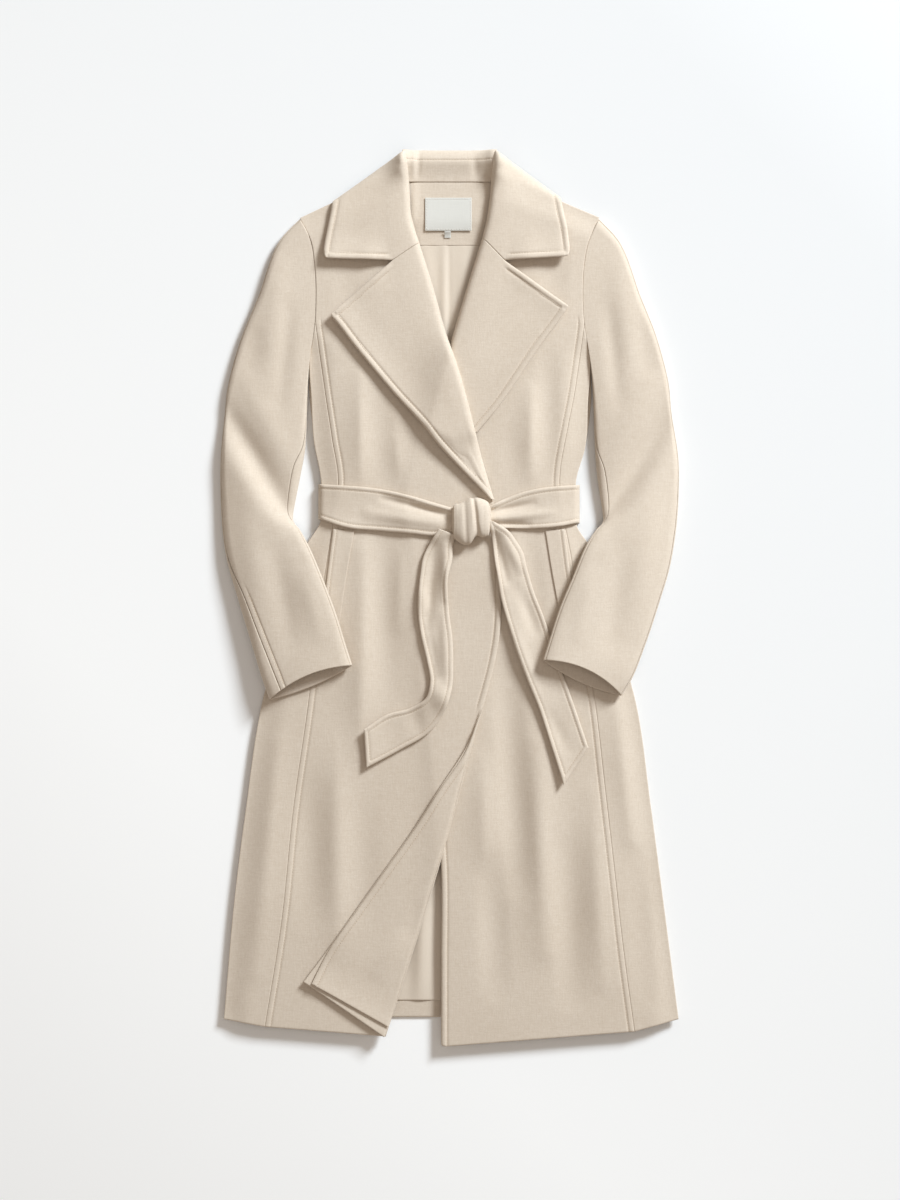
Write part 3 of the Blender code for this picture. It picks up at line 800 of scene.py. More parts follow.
def mesh_object(name: str, vertices: np.ndarray, faces: Sequence, material: bpy.types.Material
                ) -> bpy.types.Object:
    """Object from points in millimetres, smooth all over.

    Args:
        name: The piece's name.
        vertices: Its points.
        faces: Its faces, each a row of point numbers.
        material: What it is made of.

    Returns:
        The piece, in the scene.
    """
    mesh = bpy.data.meshes.new(name)
    mesh.from_pydata((vertices * MM).tolist(), [], [tuple(map(int, face)) for face in faces])
    mesh.materials.append(material)
    mesh.shade_smooth()
    made = bpy.data.objects.new(name, mesh)
    bpy.context.scene.collection.objects.link(made)
    LOG.info("%s: %d faces", name, len(mesh.polygons))
    return made


def wall_object(name: str, under: np.ndarray, over: np.ndarray, material: bpy.types.Material,
                ) -> bpy.types.Object:
    """Closed wall of cloth between its underside and its top.

    Args:
        name: The piece's name.
        under: Grid of points of the underside.
        over: Grid of points of the top.
        material: The cloth.

    Returns:
        The piece.
    """
    rows, columns = under.shape[:2]
    numbers = np.arange(rows * columns).reshape(rows, columns)
    a, b = numbers[:-1, :-1].ravel(), numbers[:-1, 1:].ravel()
    c, d = numbers[1:, 1:].ravel(), numbers[1:, :-1].ravel()
    count = rows * columns
    faces = [np.stack([a, d, c, b], 1), np.stack([a, b, c, d], 1) + count]
    for rim in (numbers[0, :], numbers[-1, ::-1], numbers[::-1, 0], numbers[:, -1]):
        faces.append(np.stack([rim[:-1], rim[1:], rim[1:] + count, rim[:-1] + count], 1))
    quads = np.concatenate(faces)
    vertices = np.concatenate([under.reshape(-1, 3), over.reshape(-1, 3)])
    first = vertices[quads[:, 0]]
    spans = np.cross(vertices[quads[:, 2]] - first, vertices[quads[:, 3]] - vertices[quads[:, 1]])
    if np.einsum("ij,ij->", first, spans) < 0:
        quads = quads[:, ::-1]
    return mesh_object(name, vertices, quads, material)


@dataclass
class Panel:
    """A flat-cut piece of cloth laid on what is below it.

    The table's rows run from side "a" to side "b". Sides are the finishes of the first row,
    the last row, side a and side b. Joined names a side by its number and says along which
    shares of it a neighbour is sewn on, without topstitching.
    """

    name: str
    table: Table
    sides: tuple[Side, Side, Side, Side]
    thickness: float
    node: str = ""
    level: Level | None = None
    gap: float = 0.4
    passes: int = 60
    spacing: float = 4.0
    folds: Sequence[Fold] = ()
    lift: float = 0.0                    # belly across the rows
    lift_peak: float = 0.5               # where across the belly is highest
    edge_lift: tuple[float, float, float, float] = (0.0, 0.0, 0.0, 0.0)
    round_corners: Sequence[tuple[int, int, float]] = ()
    joined: dict[int, Sequence[tuple[float, float]]] = field(default_factory=dict)
    snaps: Sequence[tuple[int, tuple[str, float, float, float]]] = ()
    stitch_paths: list[list[tuple[int, int]]] = field(default_factory=list)

    def plan(self) -> tuple[np.ndarray, list[np.ndarray]]:
        """Lay out the grid seen from above.

        Returns:
            The points, and their distances from the four sides.
        """
        curve = Curve(self.table)
        rows = curve.at(self.places(curve.length, self.sides[0], self.sides[1]))
        rows = rows.reshape(len(rows), -1, 2)
        for column, (name, side, low, high) in self.snaps:
            y = rows[:, column, 1]
            here = (y >= low) & (y <= high)
            rows[here, column, 0] = SEAMS[name].x_at(y[here], side)
        middle = np.linspace(0.0, 1.0, rows.shape[1])
        widths = np.linalg.norm(rows[:, -1] - rows[:, 0], axis=1)
        slants = [self.slant(rows, side) for side in (0, -1)]
        count = max(2, round(widths.max() / self.spacing))
        plan = []
        for row, width, first, last in zip(rows, widths, *slants):
            near = np.array(stops_of(self.sides[2])) / first
            far = np.array(stops_of(self.sides[3])) / last
            squeeze = min(1.0, SQUEEZE * width / (near[-1] + far[-1]))
            near, far = near * squeeze, width - far[::-1] * squeeze
            inner = np.linspace(near[-1], far[0], count + 1)[1:-1]
            share = np.concatenate([near, inner, far]) / max(width, 1e-6)
            plan.append(np.stack([np.interp(share, middle, row[:, axis]) for axis in (0, 1)], 1))
        plan = np.array(plan)
        lines = (plan[0], plan[-1], plan[:, 0], plan[:, -1])
        distances = [line_distance(plan, line) for line in lines]
        return self.rounded(plan), distances

    def places(self, length: float, first: Side, last: Side) -> np.ndarray:
        """Rows' places along the panel: close at its finished ends, even between.

        Args:
            length: The panel's length.
            first: Finish of its first row.
            last: Finish of its last row.

        Returns:
            The places, rising.
        """
        near, far = np.array(stops_of(first)), length - np.array(stops_of(last))[::-1]
        squeeze = min(1.0, SQUEEZE * length / (near[-1] + length - far[0]))
        near, far = near * squeeze, length - (length - far) * squeeze
        count = max(2, round((far[0] - near[-1]) / self.spacing))
        return np.concatenate([near, np.linspace(near[-1], far[0], count + 1)[1:-1], far])

    @staticmethod
    def slant(rows: np.ndarray, side: int) -> np.ndarray:
        """How squarely each row meets a side: the cosine of its slant, at least a third.

        Args:
            rows: The panel's rows, each a line of points.
            side: 0 for side a, -1 for side b.

        Returns:
            One number for each row.
        """
        edge = np.gradient(rows[:, side], axis=0)
        row = rows[:, 1] - rows[:, 0] if side == 0 else rows[:, -1] - rows[:, -2]
        cross = edge[:, 0] * row[:, 1] - edge[:, 1] * row[:, 0]
        sizes = np.linalg.norm(edge, axis=1) * np.linalg.norm(row, axis=1)
        return np.clip(np.abs(cross) / np.maximum(sizes, 1e-6), LEAST_SLANT, 1.0)

    def rounded(self, plan: np.ndarray) -> np.ndarray:
        """Pull the named corners in, each (row end, column end, radius).

        Args:
            plan: The grid seen from above.

        Returns:
            The grid with its corners rounded.
        """
        for row, column, radius in self.round_corners:
            corner = plan[row, column].copy()
            along = np.linalg.norm(plan[:, column] - corner, axis=1)[:, None]
            across = np.linalg.norm(plan[row] - corner, axis=1)[None, :]
            reach = CORNER_REACH * radius
            share = np.clip(1 - along / reach, 0, 1) ** 2 * np.clip(1 - across / reach, 0, 1) ** 2
            centre = plan[CORNER_LINES if row == 0 else row - CORNER_LINES,
                          CORNER_LINES if column == 0 else column - CORNER_LINES]
            inwards = (centre - corner) / np.linalg.norm(centre - corner)
            plan = plan + share[..., None] * inwards * radius * CORNER_PULL
        return plan

    def belly(self, plan: np.ndarray) -> np.ndarray:
        """Lift between the sides, highest at its peak.

        Args:
            plan: The grid seen from above.

        Returns:
            The lift of each point.
        """
        share = np.linspace(0.0, 1.0, plan.shape[1])
        power = math.log(0.5) / math.log(self.lift_peak)
        widths = np.linalg.norm(plan[:, -1] - plan[:, 0], axis=1) / 100
        return self.lift * np.sin(math.pi * share**power) * np.minimum(1.0, widths)[:, None]

    def surfaces(self, bed: Bed) -> tuple[np.ndarray, np.ndarray]:
        """Lay the panel.

        Args:
            bed: What is already there.

        Returns:
            Grids of the underside and of the top.
        """
        plan, distances = self.plan()
        alongs = self.alongs(plan)
        laid = bed.drape(self.gap, self.level, self.passes)
        height = laid.read(plan) + self.belly(plan)
        height += folded(self.folds, plan[..., 0], plan[..., 1])
        rounds = np.ones(height.shape)
        groove, puff, drop = (np.zeros(height.shape) for _ in range(3))
        for number, (side, distance) in enumerate(zip(self.sides, distances)):
            form, seam = FORMS[side], self.seam_share(number, alongs[number], SEAM_FADE)
            lift = self.edge_lift[number] * (1 - self.seam_share(number, alongs[number], LIFT_FADE))
            height += lift * np.clip(1 - distance / LIFT_REACH, 0, 1) ** 2
            radius = form.radius + (FORMS[Side.SEAM].radius - form.radius) * seam
            stub = form.stub + (FORMS[Side.SEAM].stub - form.stub) * seam
            rounds = np.minimum(rounds, stub + (1 - stub) * quarter(distance / radius))
            drop += form.drop * (1 - quarter(distance / DROP_REACH))
            if form.stitch:
                sewn = self.sewn(number, distances) * (seam <= 0.0)
                line = np.exp(-(((distance - form.stitch) / STITCH_WIDTH) ** 2))
                swell = np.sin(np.clip(distance / form.stitch, 0, 1) * math.pi)
                groove = np.maximum(groove, form.groove * line * sewn)
                puff = np.maximum(puff, form.puff * swell * sewn)
                self.stitch_paths.append(self.path(number, distance, sewn, form.stitch))
        half = self.thickness / 2
        middle = height + half - drop
        under = middle - half * rounds
        over = middle + half * rounds + (puff - groove) * np.clip(rounds, 0.3, 1)
        over = np.maximum(over, under + THINNEST)
        return np.dstack([plan, under]), np.dstack([plan, over])

    @staticmethod
    def alongs(plan: np.ndarray) -> list[np.ndarray]:
        """How far along each side every row or column is, as a share of the side's length.

        Args:
            plan: The grid seen from above.

        Returns:
            Shares for each of the four sides.
        """
        shares = []
        for number, line in enumerate((plan[0], plan[-1], plan[:, 0], plan[:, -1])):
            length = np.concatenate([[0.0], np.linalg.norm(np.diff(line, axis=0), axis=1).cumsum()])
            shares.append((length / length[-1]).reshape((1, -1) if number < 2 else (-1, 1)))
        return shares

    def seam_share(self, number: int, along: np.ndarray, fade: float) -> np.ndarray:
        """How firmly a neighbour holds each place along a side, from 0 to 1.

        Args:
            number: The side.
            along: Places along it, as shares of its length.
            fade: Share of the length over which the hold fades past a seam.

        Returns:
            The hold at each place.
        """
        share = np.zeros_like(along)
        for start, end in self.joined.get(number, ()):
            inside = np.minimum(along - start, end - along)
            share = np.maximum(share, np.clip(inside / fade + 1, 0, 1))
        return share * share * (3 - 2 * share)

    def sewn(self, number: int, distances: list[np.ndarray]) -> np.ndarray:
        """Where a side's topstitching runs: 1 on it, 0 past a stitched corner.

        Args:
            number: The side.
            distances: Distances from the four sides.

        Returns:
            The share at each point.
        """
        there = np.ones(distances[0].shape)
        for other, away in enumerate(distances):
            stitch = FORMS[self.sides[other]].stitch
            if other != number and stitch:
                there *= np.clip(away - stitch + CORNER_STITCH, 0, 1)
        return there

    @staticmethod
    def path(number: int, distance: np.ndarray, sewn: np.ndarray, stitch: float
             ) -> list[tuple[int, int]]:
        """Grid places along a side's topstitching, where it is sewn.

        Args:
            number: The side.
            distance: Distance from it.
            sewn: Where it is sewn.
            stitch: How far in its stitches run.

        Returns:
            Row and column of each place.
        """
        away = np.abs(distance - stitch)
        if number < 2:
            line = [(int(np.argmin(away[:, column])), column) for column in range(away.shape[1])]
        else:
            line = [(row, int(np.argmin(away[row]))) for row in range(away.shape[0])]
        return [place for place in line if away[place] < OFF_LINE and sewn[place] > HALF_SEWN]

    def declare(self) -> None:
        """Measure the sheet's cut, its width, its length and its area, and pass them to declared.
        """
        plan = self.plan()[0]
        width = float(np.linalg.norm(plan[:, -1] - plan[:, 0], axis=1).max())
        length = Curve(self.table).length
        diagonals = (plan[1:, 1:] - plan[:-1, :-1], plan[1:, :-1] - plan[:-1, 1:])
        area = float(np.abs(diagonals[0][..., 0] * diagonals[1][..., 1]
                            - diagonals[0][..., 1] * diagonals[1][..., 0]).sum()) / 2
        declared((width, length), area * MM * MM)

    def build(self, bed: Bed, cloths: Cloths, material: bpy.types.Material,
              below: Bed | None = None) -> bpy.types.Object:
        """Lay the panel, make it and its stitches, and put them on the bed.

        Args:
            bed: What is already there; the panel is added to it.
            cloths: The coat's materials.
            material: This panel's cloth.
            below: What it lies on, if it is sewn flush to a neighbour that is on the bed.

        Returns:
            The panel.
        """
        under, over = self.surfaces(below or bed)
        piece = wall_object(self.name, under, over, material)
        bed.add(over)
        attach(piece, ROOT)
        if self.node:
            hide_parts(self.node)
        self.declare()
        lines = [np.array([over[place] for place in path]) + STITCH_RISE
                 for path in self.stitch_paths if len(path) > 2]
        if lines:
            Stitching(f"{self.name}_stitches", lines).build(cloths.thread_of(material))
        return piece


def declared(flat: tuple[float, float], area: float) -> None:
    """Bound a sheet's cut, in millimetres and square metres; the bounded sizes are not kept.

    Args:
        flat: Width and length of its cut.
        area: Area of its cut, in square metres.
    """
    width, length = (max(size, SMALLEST_CUT) for size in flat)
    whole = width * length * MM * MM
    area = min(max(area, LEAST_AREA * whole), whole)


# ---------------------------------------------------------------- the body's level

@dataclass(frozen=True)
class BodyLevel:
    """Height of the fronts' underside: high in the middle, round down to the side seams."""

    high: float = 10.8
    low: float = 2.85
    width: float = 34.0
    depth: float = 1.3
    edges: tuple[tuple[tuple[float, float], ...], ...] = (
        ((-282, -525), (-270, -385), (-255, -265), (-235, -134), (-203, -20), (-176, 75),
         (-161, 118), (-164, 144), (-170, 197), (-175, 299)),
        ((285, -525), (267, -385), (250, -256), (231, -127), (199, -20), (170, 75),
         (158, 118), (159, 144), (169, 186), (175, 299)),
        ((-187, 474), (-60, 534)),
        ((186, 475), (60, 528)),
    )
    folds: tuple[Fold, ...] = (
        Fold(-84, 76, -80, -120, 13, -5.2), Fold(-108, 60, -112, -200, 13, 4.0),
        Fold(-128, 74, -136, 10, 7, -2.4), Fold(-58, 74, -66, -40, 9, 2.6),
        Fold(-172, -230, -176, -400, 15, -4.2), Fold(-140, -180, -140, -430, 17, 3.6),
        Fold(-110, -260, -112, -430, 15, -2.8), Fold(-214, -180, -240, -470, 13, 2.2),
        Fold(70, -80, 86, -360, 14, -5.6), Fold(110, -180, 116, -440, 16, 4.4),
        Fold(40, -200, 42, -330, 12, 2.4), Fold(52, -330, 56, -490, 13, -3.6),
        Fold(148, -310, 150, -500, 14, -4.6), Fold(178, -240, 190, -480, 14, 3.2),
        Fold(232, -320, 244, -500, 12, -2.6), Fold(212, -140, 222, -300, 12, 2.2),
        Fold(100, 76, 108, -60, 8, -3.0), Fold(80, 70, 88, -80, 9, 2.6),
        Fold(122, 300, 120, 150, 9, -4.0), Fold(100, 260, 100, 150, 10, 3.2),
        Fold(78, 200, 76, 148, 7, -2.0), Fold(-88, 250, -86, 146, 10, -4.0),
        Fold(-112, 280, -112, 146, 9, 3.2), Fold(-66, 200, -62, 140, 8, 2.2),
        Fold(132, 430, 124, 370, 12, -2.4), Fold(-128, 410, -122, 350, 12, -2.0),
    )

    def __call__(self, x: np.ndarray, y: np.ndarray) -> np.ndarray:
        """Height at each place.

        Args:
            x: Grid of places across the coat.
            y: Grid of places up the coat.

        Returns:
            The heights.
        """
        plan = np.dstack([x, y])
        edge = np.full(x.shape, 1e9)
        for line in self.edges:
            edge = np.minimum(edge, line_distance(plan, np.array(line, dtype=float)))
        fall = np.sin(np.clip(edge / self.width, 0.0, 1.0) * math.pi / 2)
        return self.low + (self.high - self.low + self.depth * folded(self.folds, x, y)) * fall


# ---------------------------------------------------------------- sub-assemblies

@dataclass
class BackAndNeck:
    """What lies lowest: belt behind the waist, collar behind the neck, back, lining, neck."""

    belt: Table = ((-163, 97, -162, 140), (-80, 94, -80, 138), (0, 93, 0, 138),
                   (80, 94, 80, 138), (162, 93, 158, 140))
    collar: Table = (
        (-142, 492, -144, 478), (-100, 522, -104, 452), (-56, 556, -58, 470),
        (0, 557.5, 0, 474), (56, 556, 58, 470), (97, 524, 103, 452), (134, 497, 138, 480))
    back: Table = (
        (-281, -523.5, 284, -523.5), (-269, -385, 266, -385), (-254, -265, 249, -256),
        (-234, -134, 230, -127), (-205, -25, 200, -25), (-177, 68, 171, 68),
        (-161, 94, 157, 90), (-159, 118, 155.5, 118), (-160, 143, 155.5, 143),
        (-169, 197, 168, 186), (-174, 299, 174, 297), (-170, 320, 169.6, 320),
        (-167, 345, 166, 345), (-166.6, 394, 165, 396), (-172, 440, 168.5, 430),
        (-185, 471, 183, 471), (-140, 492, 136, 490), (-98, 508, 96, 507), (-60, 518.6, 60, 518.6))
    lining: Table = (
        (-262, -502, 264, -502), (-252, -385, 249, -385), (-238, -265, 233, -256),
        (-217, -134, 213, -127), (-188, -25, 184, -25), (-156, 75, 151, 75),
        (-144, 118, 140, 118), (-150, 197, 149, 186), (-156, 300, 156, 298),
        (-150, 360, 148, 360), (-120, 439.9, 120, 439.9))
    facing: Table = ((-120, 440.0, 120, 440.0), (-92, 480, 92, 480), (-62, 518.6, 62, 518.6))
    stand: Table = ((-56, 518.7, 56, 518.7), (-58, 532, 58, 532), (-60, 545, 60, 545),
                    (-60, 553, 60, 553), (-59, 558.4, 58, 558.4))
    label: Table = ((-31, 458, 27, 458), (-31, 499, 27, 499))
    tag: Table = ((-7, 449, 1, 449), (-7, 457.4, 1, 457.4))
    wool: float = 2.4
    facing_wool: float = 1.6
    lining_silk: float = 1.0
    belt_wool: float = 2.8
    label_weave: float = 0.8
    pleat: tuple[Fold, ...] = (           # below the neck, and soft waves at the hem
        Fold(-8, 440, -7, 300, 5, 1.5), Fold(-1.5, 440, -1, 300, 2.2, -0.8),
        Fold(18, 436, 14, 340, 9, 0.9), Fold(-32, 436, -24, 350, 7, 0.8),
        Fold(-32, -360, -38, -500, 8, 3.4), Fold(-18, -370, -20, -500, 5, -1.4),
        Fold(-52, -420, -54, -500, 7, -0.8))

    def build(self, bed: Bed, cloths: Cloths) -> None:
        """Lay the lowest pieces in order.

        Args:
            bed: What is already there; the pieces are added to it.
            cloths: The coat's materials.
        """
        seam, plain, tucked = Side.SEAM, Side.PLAIN, Side.TUCKED
        Panel("belt_behind_waist", self.belt, (tucked, tucked, plain, plain),
              self.belt_wool, "belt_back", spacing=8).build(bed, cloths, cloths.wool)
        Panel("collar_behind_neck", self.collar, (plain,) * 4, self.wool, "collar_back",
              spacing=6).build(bed, cloths, cloths.wool)
        Panel("back_panel", self.back, (plain, seam, seam, seam), self.wool, "back",
              spacing=7).build(bed, cloths, cloths.wool)
        below = bed.copied()
        Panel("back_lining_panel", self.lining, (plain, seam, seam, seam), self.lining_silk,
              "back_lining", spacing=4.5, folds=self.pleat
              ).build(bed, cloths, cloths.lining, below)
        Panel("neck_facing", self.facing, (seam, seam, tucked, tucked), self.facing_wool,
              "back_neck_facing", passes=20, folds=(Fold(-44, 515, -46, 470, 4, 1.6),
                                                    Fold(-52, 500, -50, 450, 3, -1.0))
              ).build(bed, cloths, cloths.wool, below)
        Panel("neck_stand", self.stand, (seam, Side.NECK, tucked, tucked), self.wool,
              "collar_stand", level=self.stand_level, passes=12, spacing=2.5,
              folds=(Fold(-38, 556, -40, 524, 2.6, -1.6), Fold(-45, 556, -46, 524, 2.6, 1.5),
                     Fold(30, 548, 33, 524, 5.0, -1.6)),
              ).build(bed, cloths, cloths.wool, below)
        Panel("neck_label", self.label, (Side.LABEL,) * 4, self.label_weave, "label", passes=4,
              spacing=2.5, edge_lift=(0.5, 0.0, 0.4, 0.2)
              ).build(bed, cloths, cloths.label)
        Panel("size_tag_blank", self.tag, (plain, tucked, plain, plain), self.label_weave,
              "size_tag", passes=2, spacing=1.5).build(bed, cloths, cloths.label)

    @staticmethod
    def stand_level(x: np.ndarray, y: np.ndarray) -> np.ndarray:
        """The stand rises from its seam, most at the ends, to the collar's roll.

        Args:
            x: Grid of places across the coat.
            y: Grid of places up the coat.

        Returns:
            The stand's level.
        """
        rise = np.clip((y - 519) / 22, 0, 1) ** 1.5
        side = np.clip((np.abs(x + 2) - 32) / 22, 0, 1) ** 2
        over = 0.12 * np.clip(y - 545, 0, None) ** 1.5
        return 5.4 + 4.4 * rise + 8.5 * side * (0.3 + 0.7 * rise) - over


@dataclass
class Fronts:
    """Left and right front with their side panels, and the welts of the pockets."""

    level: BodyLevel
    wool: float = 2.4
    welt_wool: float = 1.6
    left: Table = (
        (-11, -559, 229.6, -540), (-11, -450, 216, -440), (-11, -342, 204, -334),
        (-20, -220, 192, -230), (-38, -60, 171, -70), (-50, 100, 142, 95),
        (-54, 122, 136, 142), (-25, 220, 147, 215), (3, 317, 160, 290),
        (24, 391, 165, 340), (37, 430, 164, 396), (45, 462, 168, 430),
        (54, 500, 177, 455), (60, 528, 186, 474.4))
    right: Table = (
        (-230.6, -534, -80, -546), (-209, -400, -30, -390), (-195, -265, 2, -280),
        (-175.6, -127, 30, -175), (-166, -60, 57, -75), (-155, 20, 64, -10),
        (-144, 90, 60, 95), (-138, 142, 47, 140), (-147, 200, 28, 215),
        (-158, 280, 6, 290), (-166.4, 344, -14, 352), (-166.2, 394, -31, 415),
        (-171, 434, -45, 464), (-178.5, 456, -54, 500), (-187, 473.6, -60, 534))
    side_right: Table = (
        (-282, -525, -231.4, -534), (-270, -385, -209.8, -400), (-255, -265, -195.8, -265),
        (-235, -134, -176.4, -127), (-205, -25, -166.6, -25), (-178, 68, -149.6, 68),
        (-162, 94, -145.6, 92), (-160, 118, -142.6, 118), (-160.6, 143, -138.8, 143),
        (-170, 197, -147.4, 197), (-173, 250, -154.8, 250), (-174.8, 299, -161.8, 297),
        (-171.0, 320, -164.6, 320), (-168.5, 343, -167.9, 343.6))
    side_left: Table = (
        (230.4, -540, 285, -525), (212, -400, 267, -385), (196.4, -262, 250, -256),
        (180.6, -127, 231, -127), (162.5, -25, 201, -25), (148, 68, 172, 68),
        (143.6, 92, 158, 90), (140.2, 118, 156.9, 118), (136.8, 143, 156.9, 143),
        (146, 197, 169, 190), (154, 250, 172, 245), (161.4, 295, 174.6, 298),
        (164.4, 320, 170.4, 320), (167.1, 340, 167.5, 340.4))
    welt_right: Table = ((-145.4, 86, -119, 84), (-152, 35, -128, 33), (-158, -12, -135, -14),
                         (-165, -55, -142, -58))
    welt_left: Table = ((118.6, 84, 142.4, 86), (126.5, 35, 149, 35), (135, -12, 157, -12),
                        (143, -60, 164, -58))

    def build_left(self, bed: Bed, cloths: Cloths) -> None:
        """Lay the left front and its side panel.

        Args:
            bed: What is already there; the pieces are added to it.
            cloths: The coat's materials.
        """
        below = bed.copied()
        Panel("left_front", self.left, (Side.PLAIN, Side.SEAM, Side.EDGE, Side.BAND), self.wool,
              "front_left", level=self.level, joined={2: ((0.32, 1.0),), 3: ((0.9, 1.0),)},
              round_corners=((0, 0, 5.0),),
              snaps=((-1, ("left_princess", -1, -600, 341)), (-1, ("left_armhole", -1, 341, 472)))
              ).build(bed, cloths, cloths.wool)
        Panel("left_side_front", self.side_left, (Side.PLAIN, Side.SEAM, Side.SEAM, Side.SEAM),
              self.wool, "side_front_left", level=self.level,
              snaps=((0, ("left_princess", 1, -600, 341)), (-1, ("left_armhole", -1, 297, 341)))
              ).build(bed, cloths, cloths.wool, below)

    def build_right(self, bed: Bed, cloths: Cloths) -> None:
        """Lay the right front over the left, and its side panel.

        Args:
            bed: What is already there; the pieces are added to it.
            cloths: The coat's materials.
        """
        below = bed.copied()
        Panel("right_front", self.right, (Side.PLAIN, Side.SEAM, Side.BAND, Side.EDGE), self.wool,
              "front_right", level=self.level, passes=90,
              joined={2: ((0.9, 1.0),), 3: ((0.0, 0.35), (0.61, 1.0))},
              snaps=((0, ("right_princess", 1, -600, 344)), (0, ("right_armhole", 1, 344, 472)))
              ).build(bed, cloths, cloths.wool)
        Panel("right_side_front", self.side_right, (Side.PLAIN, Side.SEAM, Side.SEAM, Side.SEAM),
              self.wool, "side_front_right", level=self.level,
              snaps=((-1, ("right_princess", -1, -600, 341)), (0, ("right_armhole", 1, 299, 341)))
              ).build(bed, cloths, cloths.wool, below)

    def build_welts(self, bed: Bed, cloths: Cloths) -> None:
        """Lay the welts on the fronts.

        Args:
            bed: What is already there; the pieces are added to it.
            cloths: The coat's materials.
        """
        for name, table, sides in (
                ("right", self.welt_right, (Side.PLAIN, Side.PLAIN, Side.WELT, Side.SEAM)),
                ("left", self.welt_left, (Side.PLAIN, Side.PLAIN, Side.SEAM, Side.WELT))):
            Panel(f"{name}_pocket_welt", table, sides, self.welt_wool, f"pocket_welt_{name}",
                  gap=0.3, passes=6, spacing=3).build(bed, cloths, cloths.wool)


@dataclass
class TurnedCorner:
    """The right front's lower corner, turned back to show its facing."""

    wool: float = 2.4
    facing_wool: float = 1.6
    cloth: Table = (
        (42, -134, 39.4, -139), (29, -176, 22, -181), (12, -234, -13, -236),
        (-2, -290, -46, -288), (-18, -342, -80, -336), (-38, -410, -117, -388),
        (-60, -478, -152, -437), (-81.6, -546, -182, -477))
    facing: Table = (
        (33, -162, 30.4, -163), (25, -186, 20.4, -188), (10, -236, -12, -237),
        (-4, -291, -45, -288.5), (-20, -342, -79, -336.5), (-39, -408, -116, -388.5),
        (-58, -470, -150.5, -437.5), (-76.5, -533, -172, -479))

    def build(self, bed: Bed, cloths: Cloths) -> None:
        """Lay the turned cloth and its facing.

        Args:
            bed: What is already there; the pieces are added to it.
            cloths: The coat's materials.
        """
        Panel("right_front_turned_corner", self.cloth,
              (Side.TUCKED, Side.PLAIN, Side.SOFT, Side.PLAIN), self.wool,
              "front_corner_right", edge_lift=(0, 3.0, 0, 2.0)).build(bed, cloths, cloths.wool)
        Panel("right_front_facing", self.facing,
              (Side.TUCKED, Side.PLAIN, Side.SOFT, Side.EDGE), self.facing_wool,
              "front_facing_right", gap=0.25, passes=30, edge_lift=(0, 1.0, 0, 0.4),
              folds=(Fold(-60, -420, -92, -470, 14, 1.6), Fold(-40, -380, -50, -440, 10, -1.2))
              ).build(bed, cloths, cloths.wool)


@dataclass
class Lapels:
    """Both lapels: the fronts' facing turned out over the chest."""

    thickness: float = 3.0
    right: Table = (
        (55, 122, 53, 122.5, 50, 123), (38, 181, 15, 172, -9, 184),
        (21, 249, -10, 228, -40, 222), (9, 290, -25, 265, -72, 257),
        (-4, 327, -40, 305, -112, 305), (-20, 384, -60, 358, -136, 336),
        (-38, 442, -72, 419.2, -149, 352))
    left: Table = (
        (-27, 220, 0, 202, 34, 206), (-10, 280, 25, 262, 67, 247),
        (4, 330, 40, 305, 106, 305), (22, 390, 55, 362, 134, 343),
        (40, 448, 68, 419.4, 148, 362))

    def build_one(self, name: str, bed: Bed, cloths: Cloths, below: Bed) -> None:
        """Lay the right or the left lapel on what is below both it and its collar leaf.

        Args:
            name: "right" or "left".
            bed: What is already there; the pieces are added to it.
            cloths: The coat's materials.
            below: The bed before lapel and leaf.
        """
        table = self.right if name == "right" else self.left
        Panel(f"{name}_lapel", table, (Side.TUCKED, Side.EDGE, Side.ROLL, Side.EDGE),
              self.thickness, f"lapel_{name}", passes=110, spacing=3.5, lift=4.2, lift_peak=0.3,
              joined={1: ((0.0, 0.285),)}, edge_lift=(0.0, 2.6, 0.0, 4.6),
              round_corners=((-1, -1, 4.0),)).build(bed, cloths, cloths.wool, below)


@dataclass
class Collar:
    """The collar's two leaves, which come over the shoulders onto the fronts."""

    thickness: float = 3.0
    right: Table = (
        (-38.1, 442.2, -72.1, 419.4, -158, 421.4), (-48, 474, -78, 456, -156, 441),
        (-50, 504, -82, 486, -152, 462), (-52, 532, -84, 513, -148.5, 480),
        (-56, 557, -88, 536, -146, 494))
    left: Table = (
        (40.1, 448.2, 68.1, 419.6, 150, 424), (46, 474, 78, 456, 148, 442),
        (50, 504, 82, 486, 145, 464), (52, 532, 84, 513, 141, 482),
        (56, 557, 88, 536, 138, 499))

    def build_one(self, name: str, bed: Bed, cloths: Cloths, below: Bed) -> None:
        """Lay the right or the left leaf, flush with its lapel along their seam.

        Args:
            name: "right" or "left".
            bed: What is already there; the pieces are added to it.
            cloths: The coat's materials.
            below: The bed before lapel and leaf.
        """
        table = self.right if name == "right" else self.left
        Panel(f"{name}_collar_leaf", table, (Side.EDGE, Side.FALL, Side.ROLL, Side.EDGE),
              self.thickness, f"collar_{name}", passes=110, spacing=3.5, lift=4.2,
              lift_peak=0.3, joined={0: ((0.0, 0.33),)}, edge_lift=(5.4, 0.0, 0.0, 3.0),
              round_corners=((0, -1, 9.0),)).build(bed, cloths, cloths.wool, below)


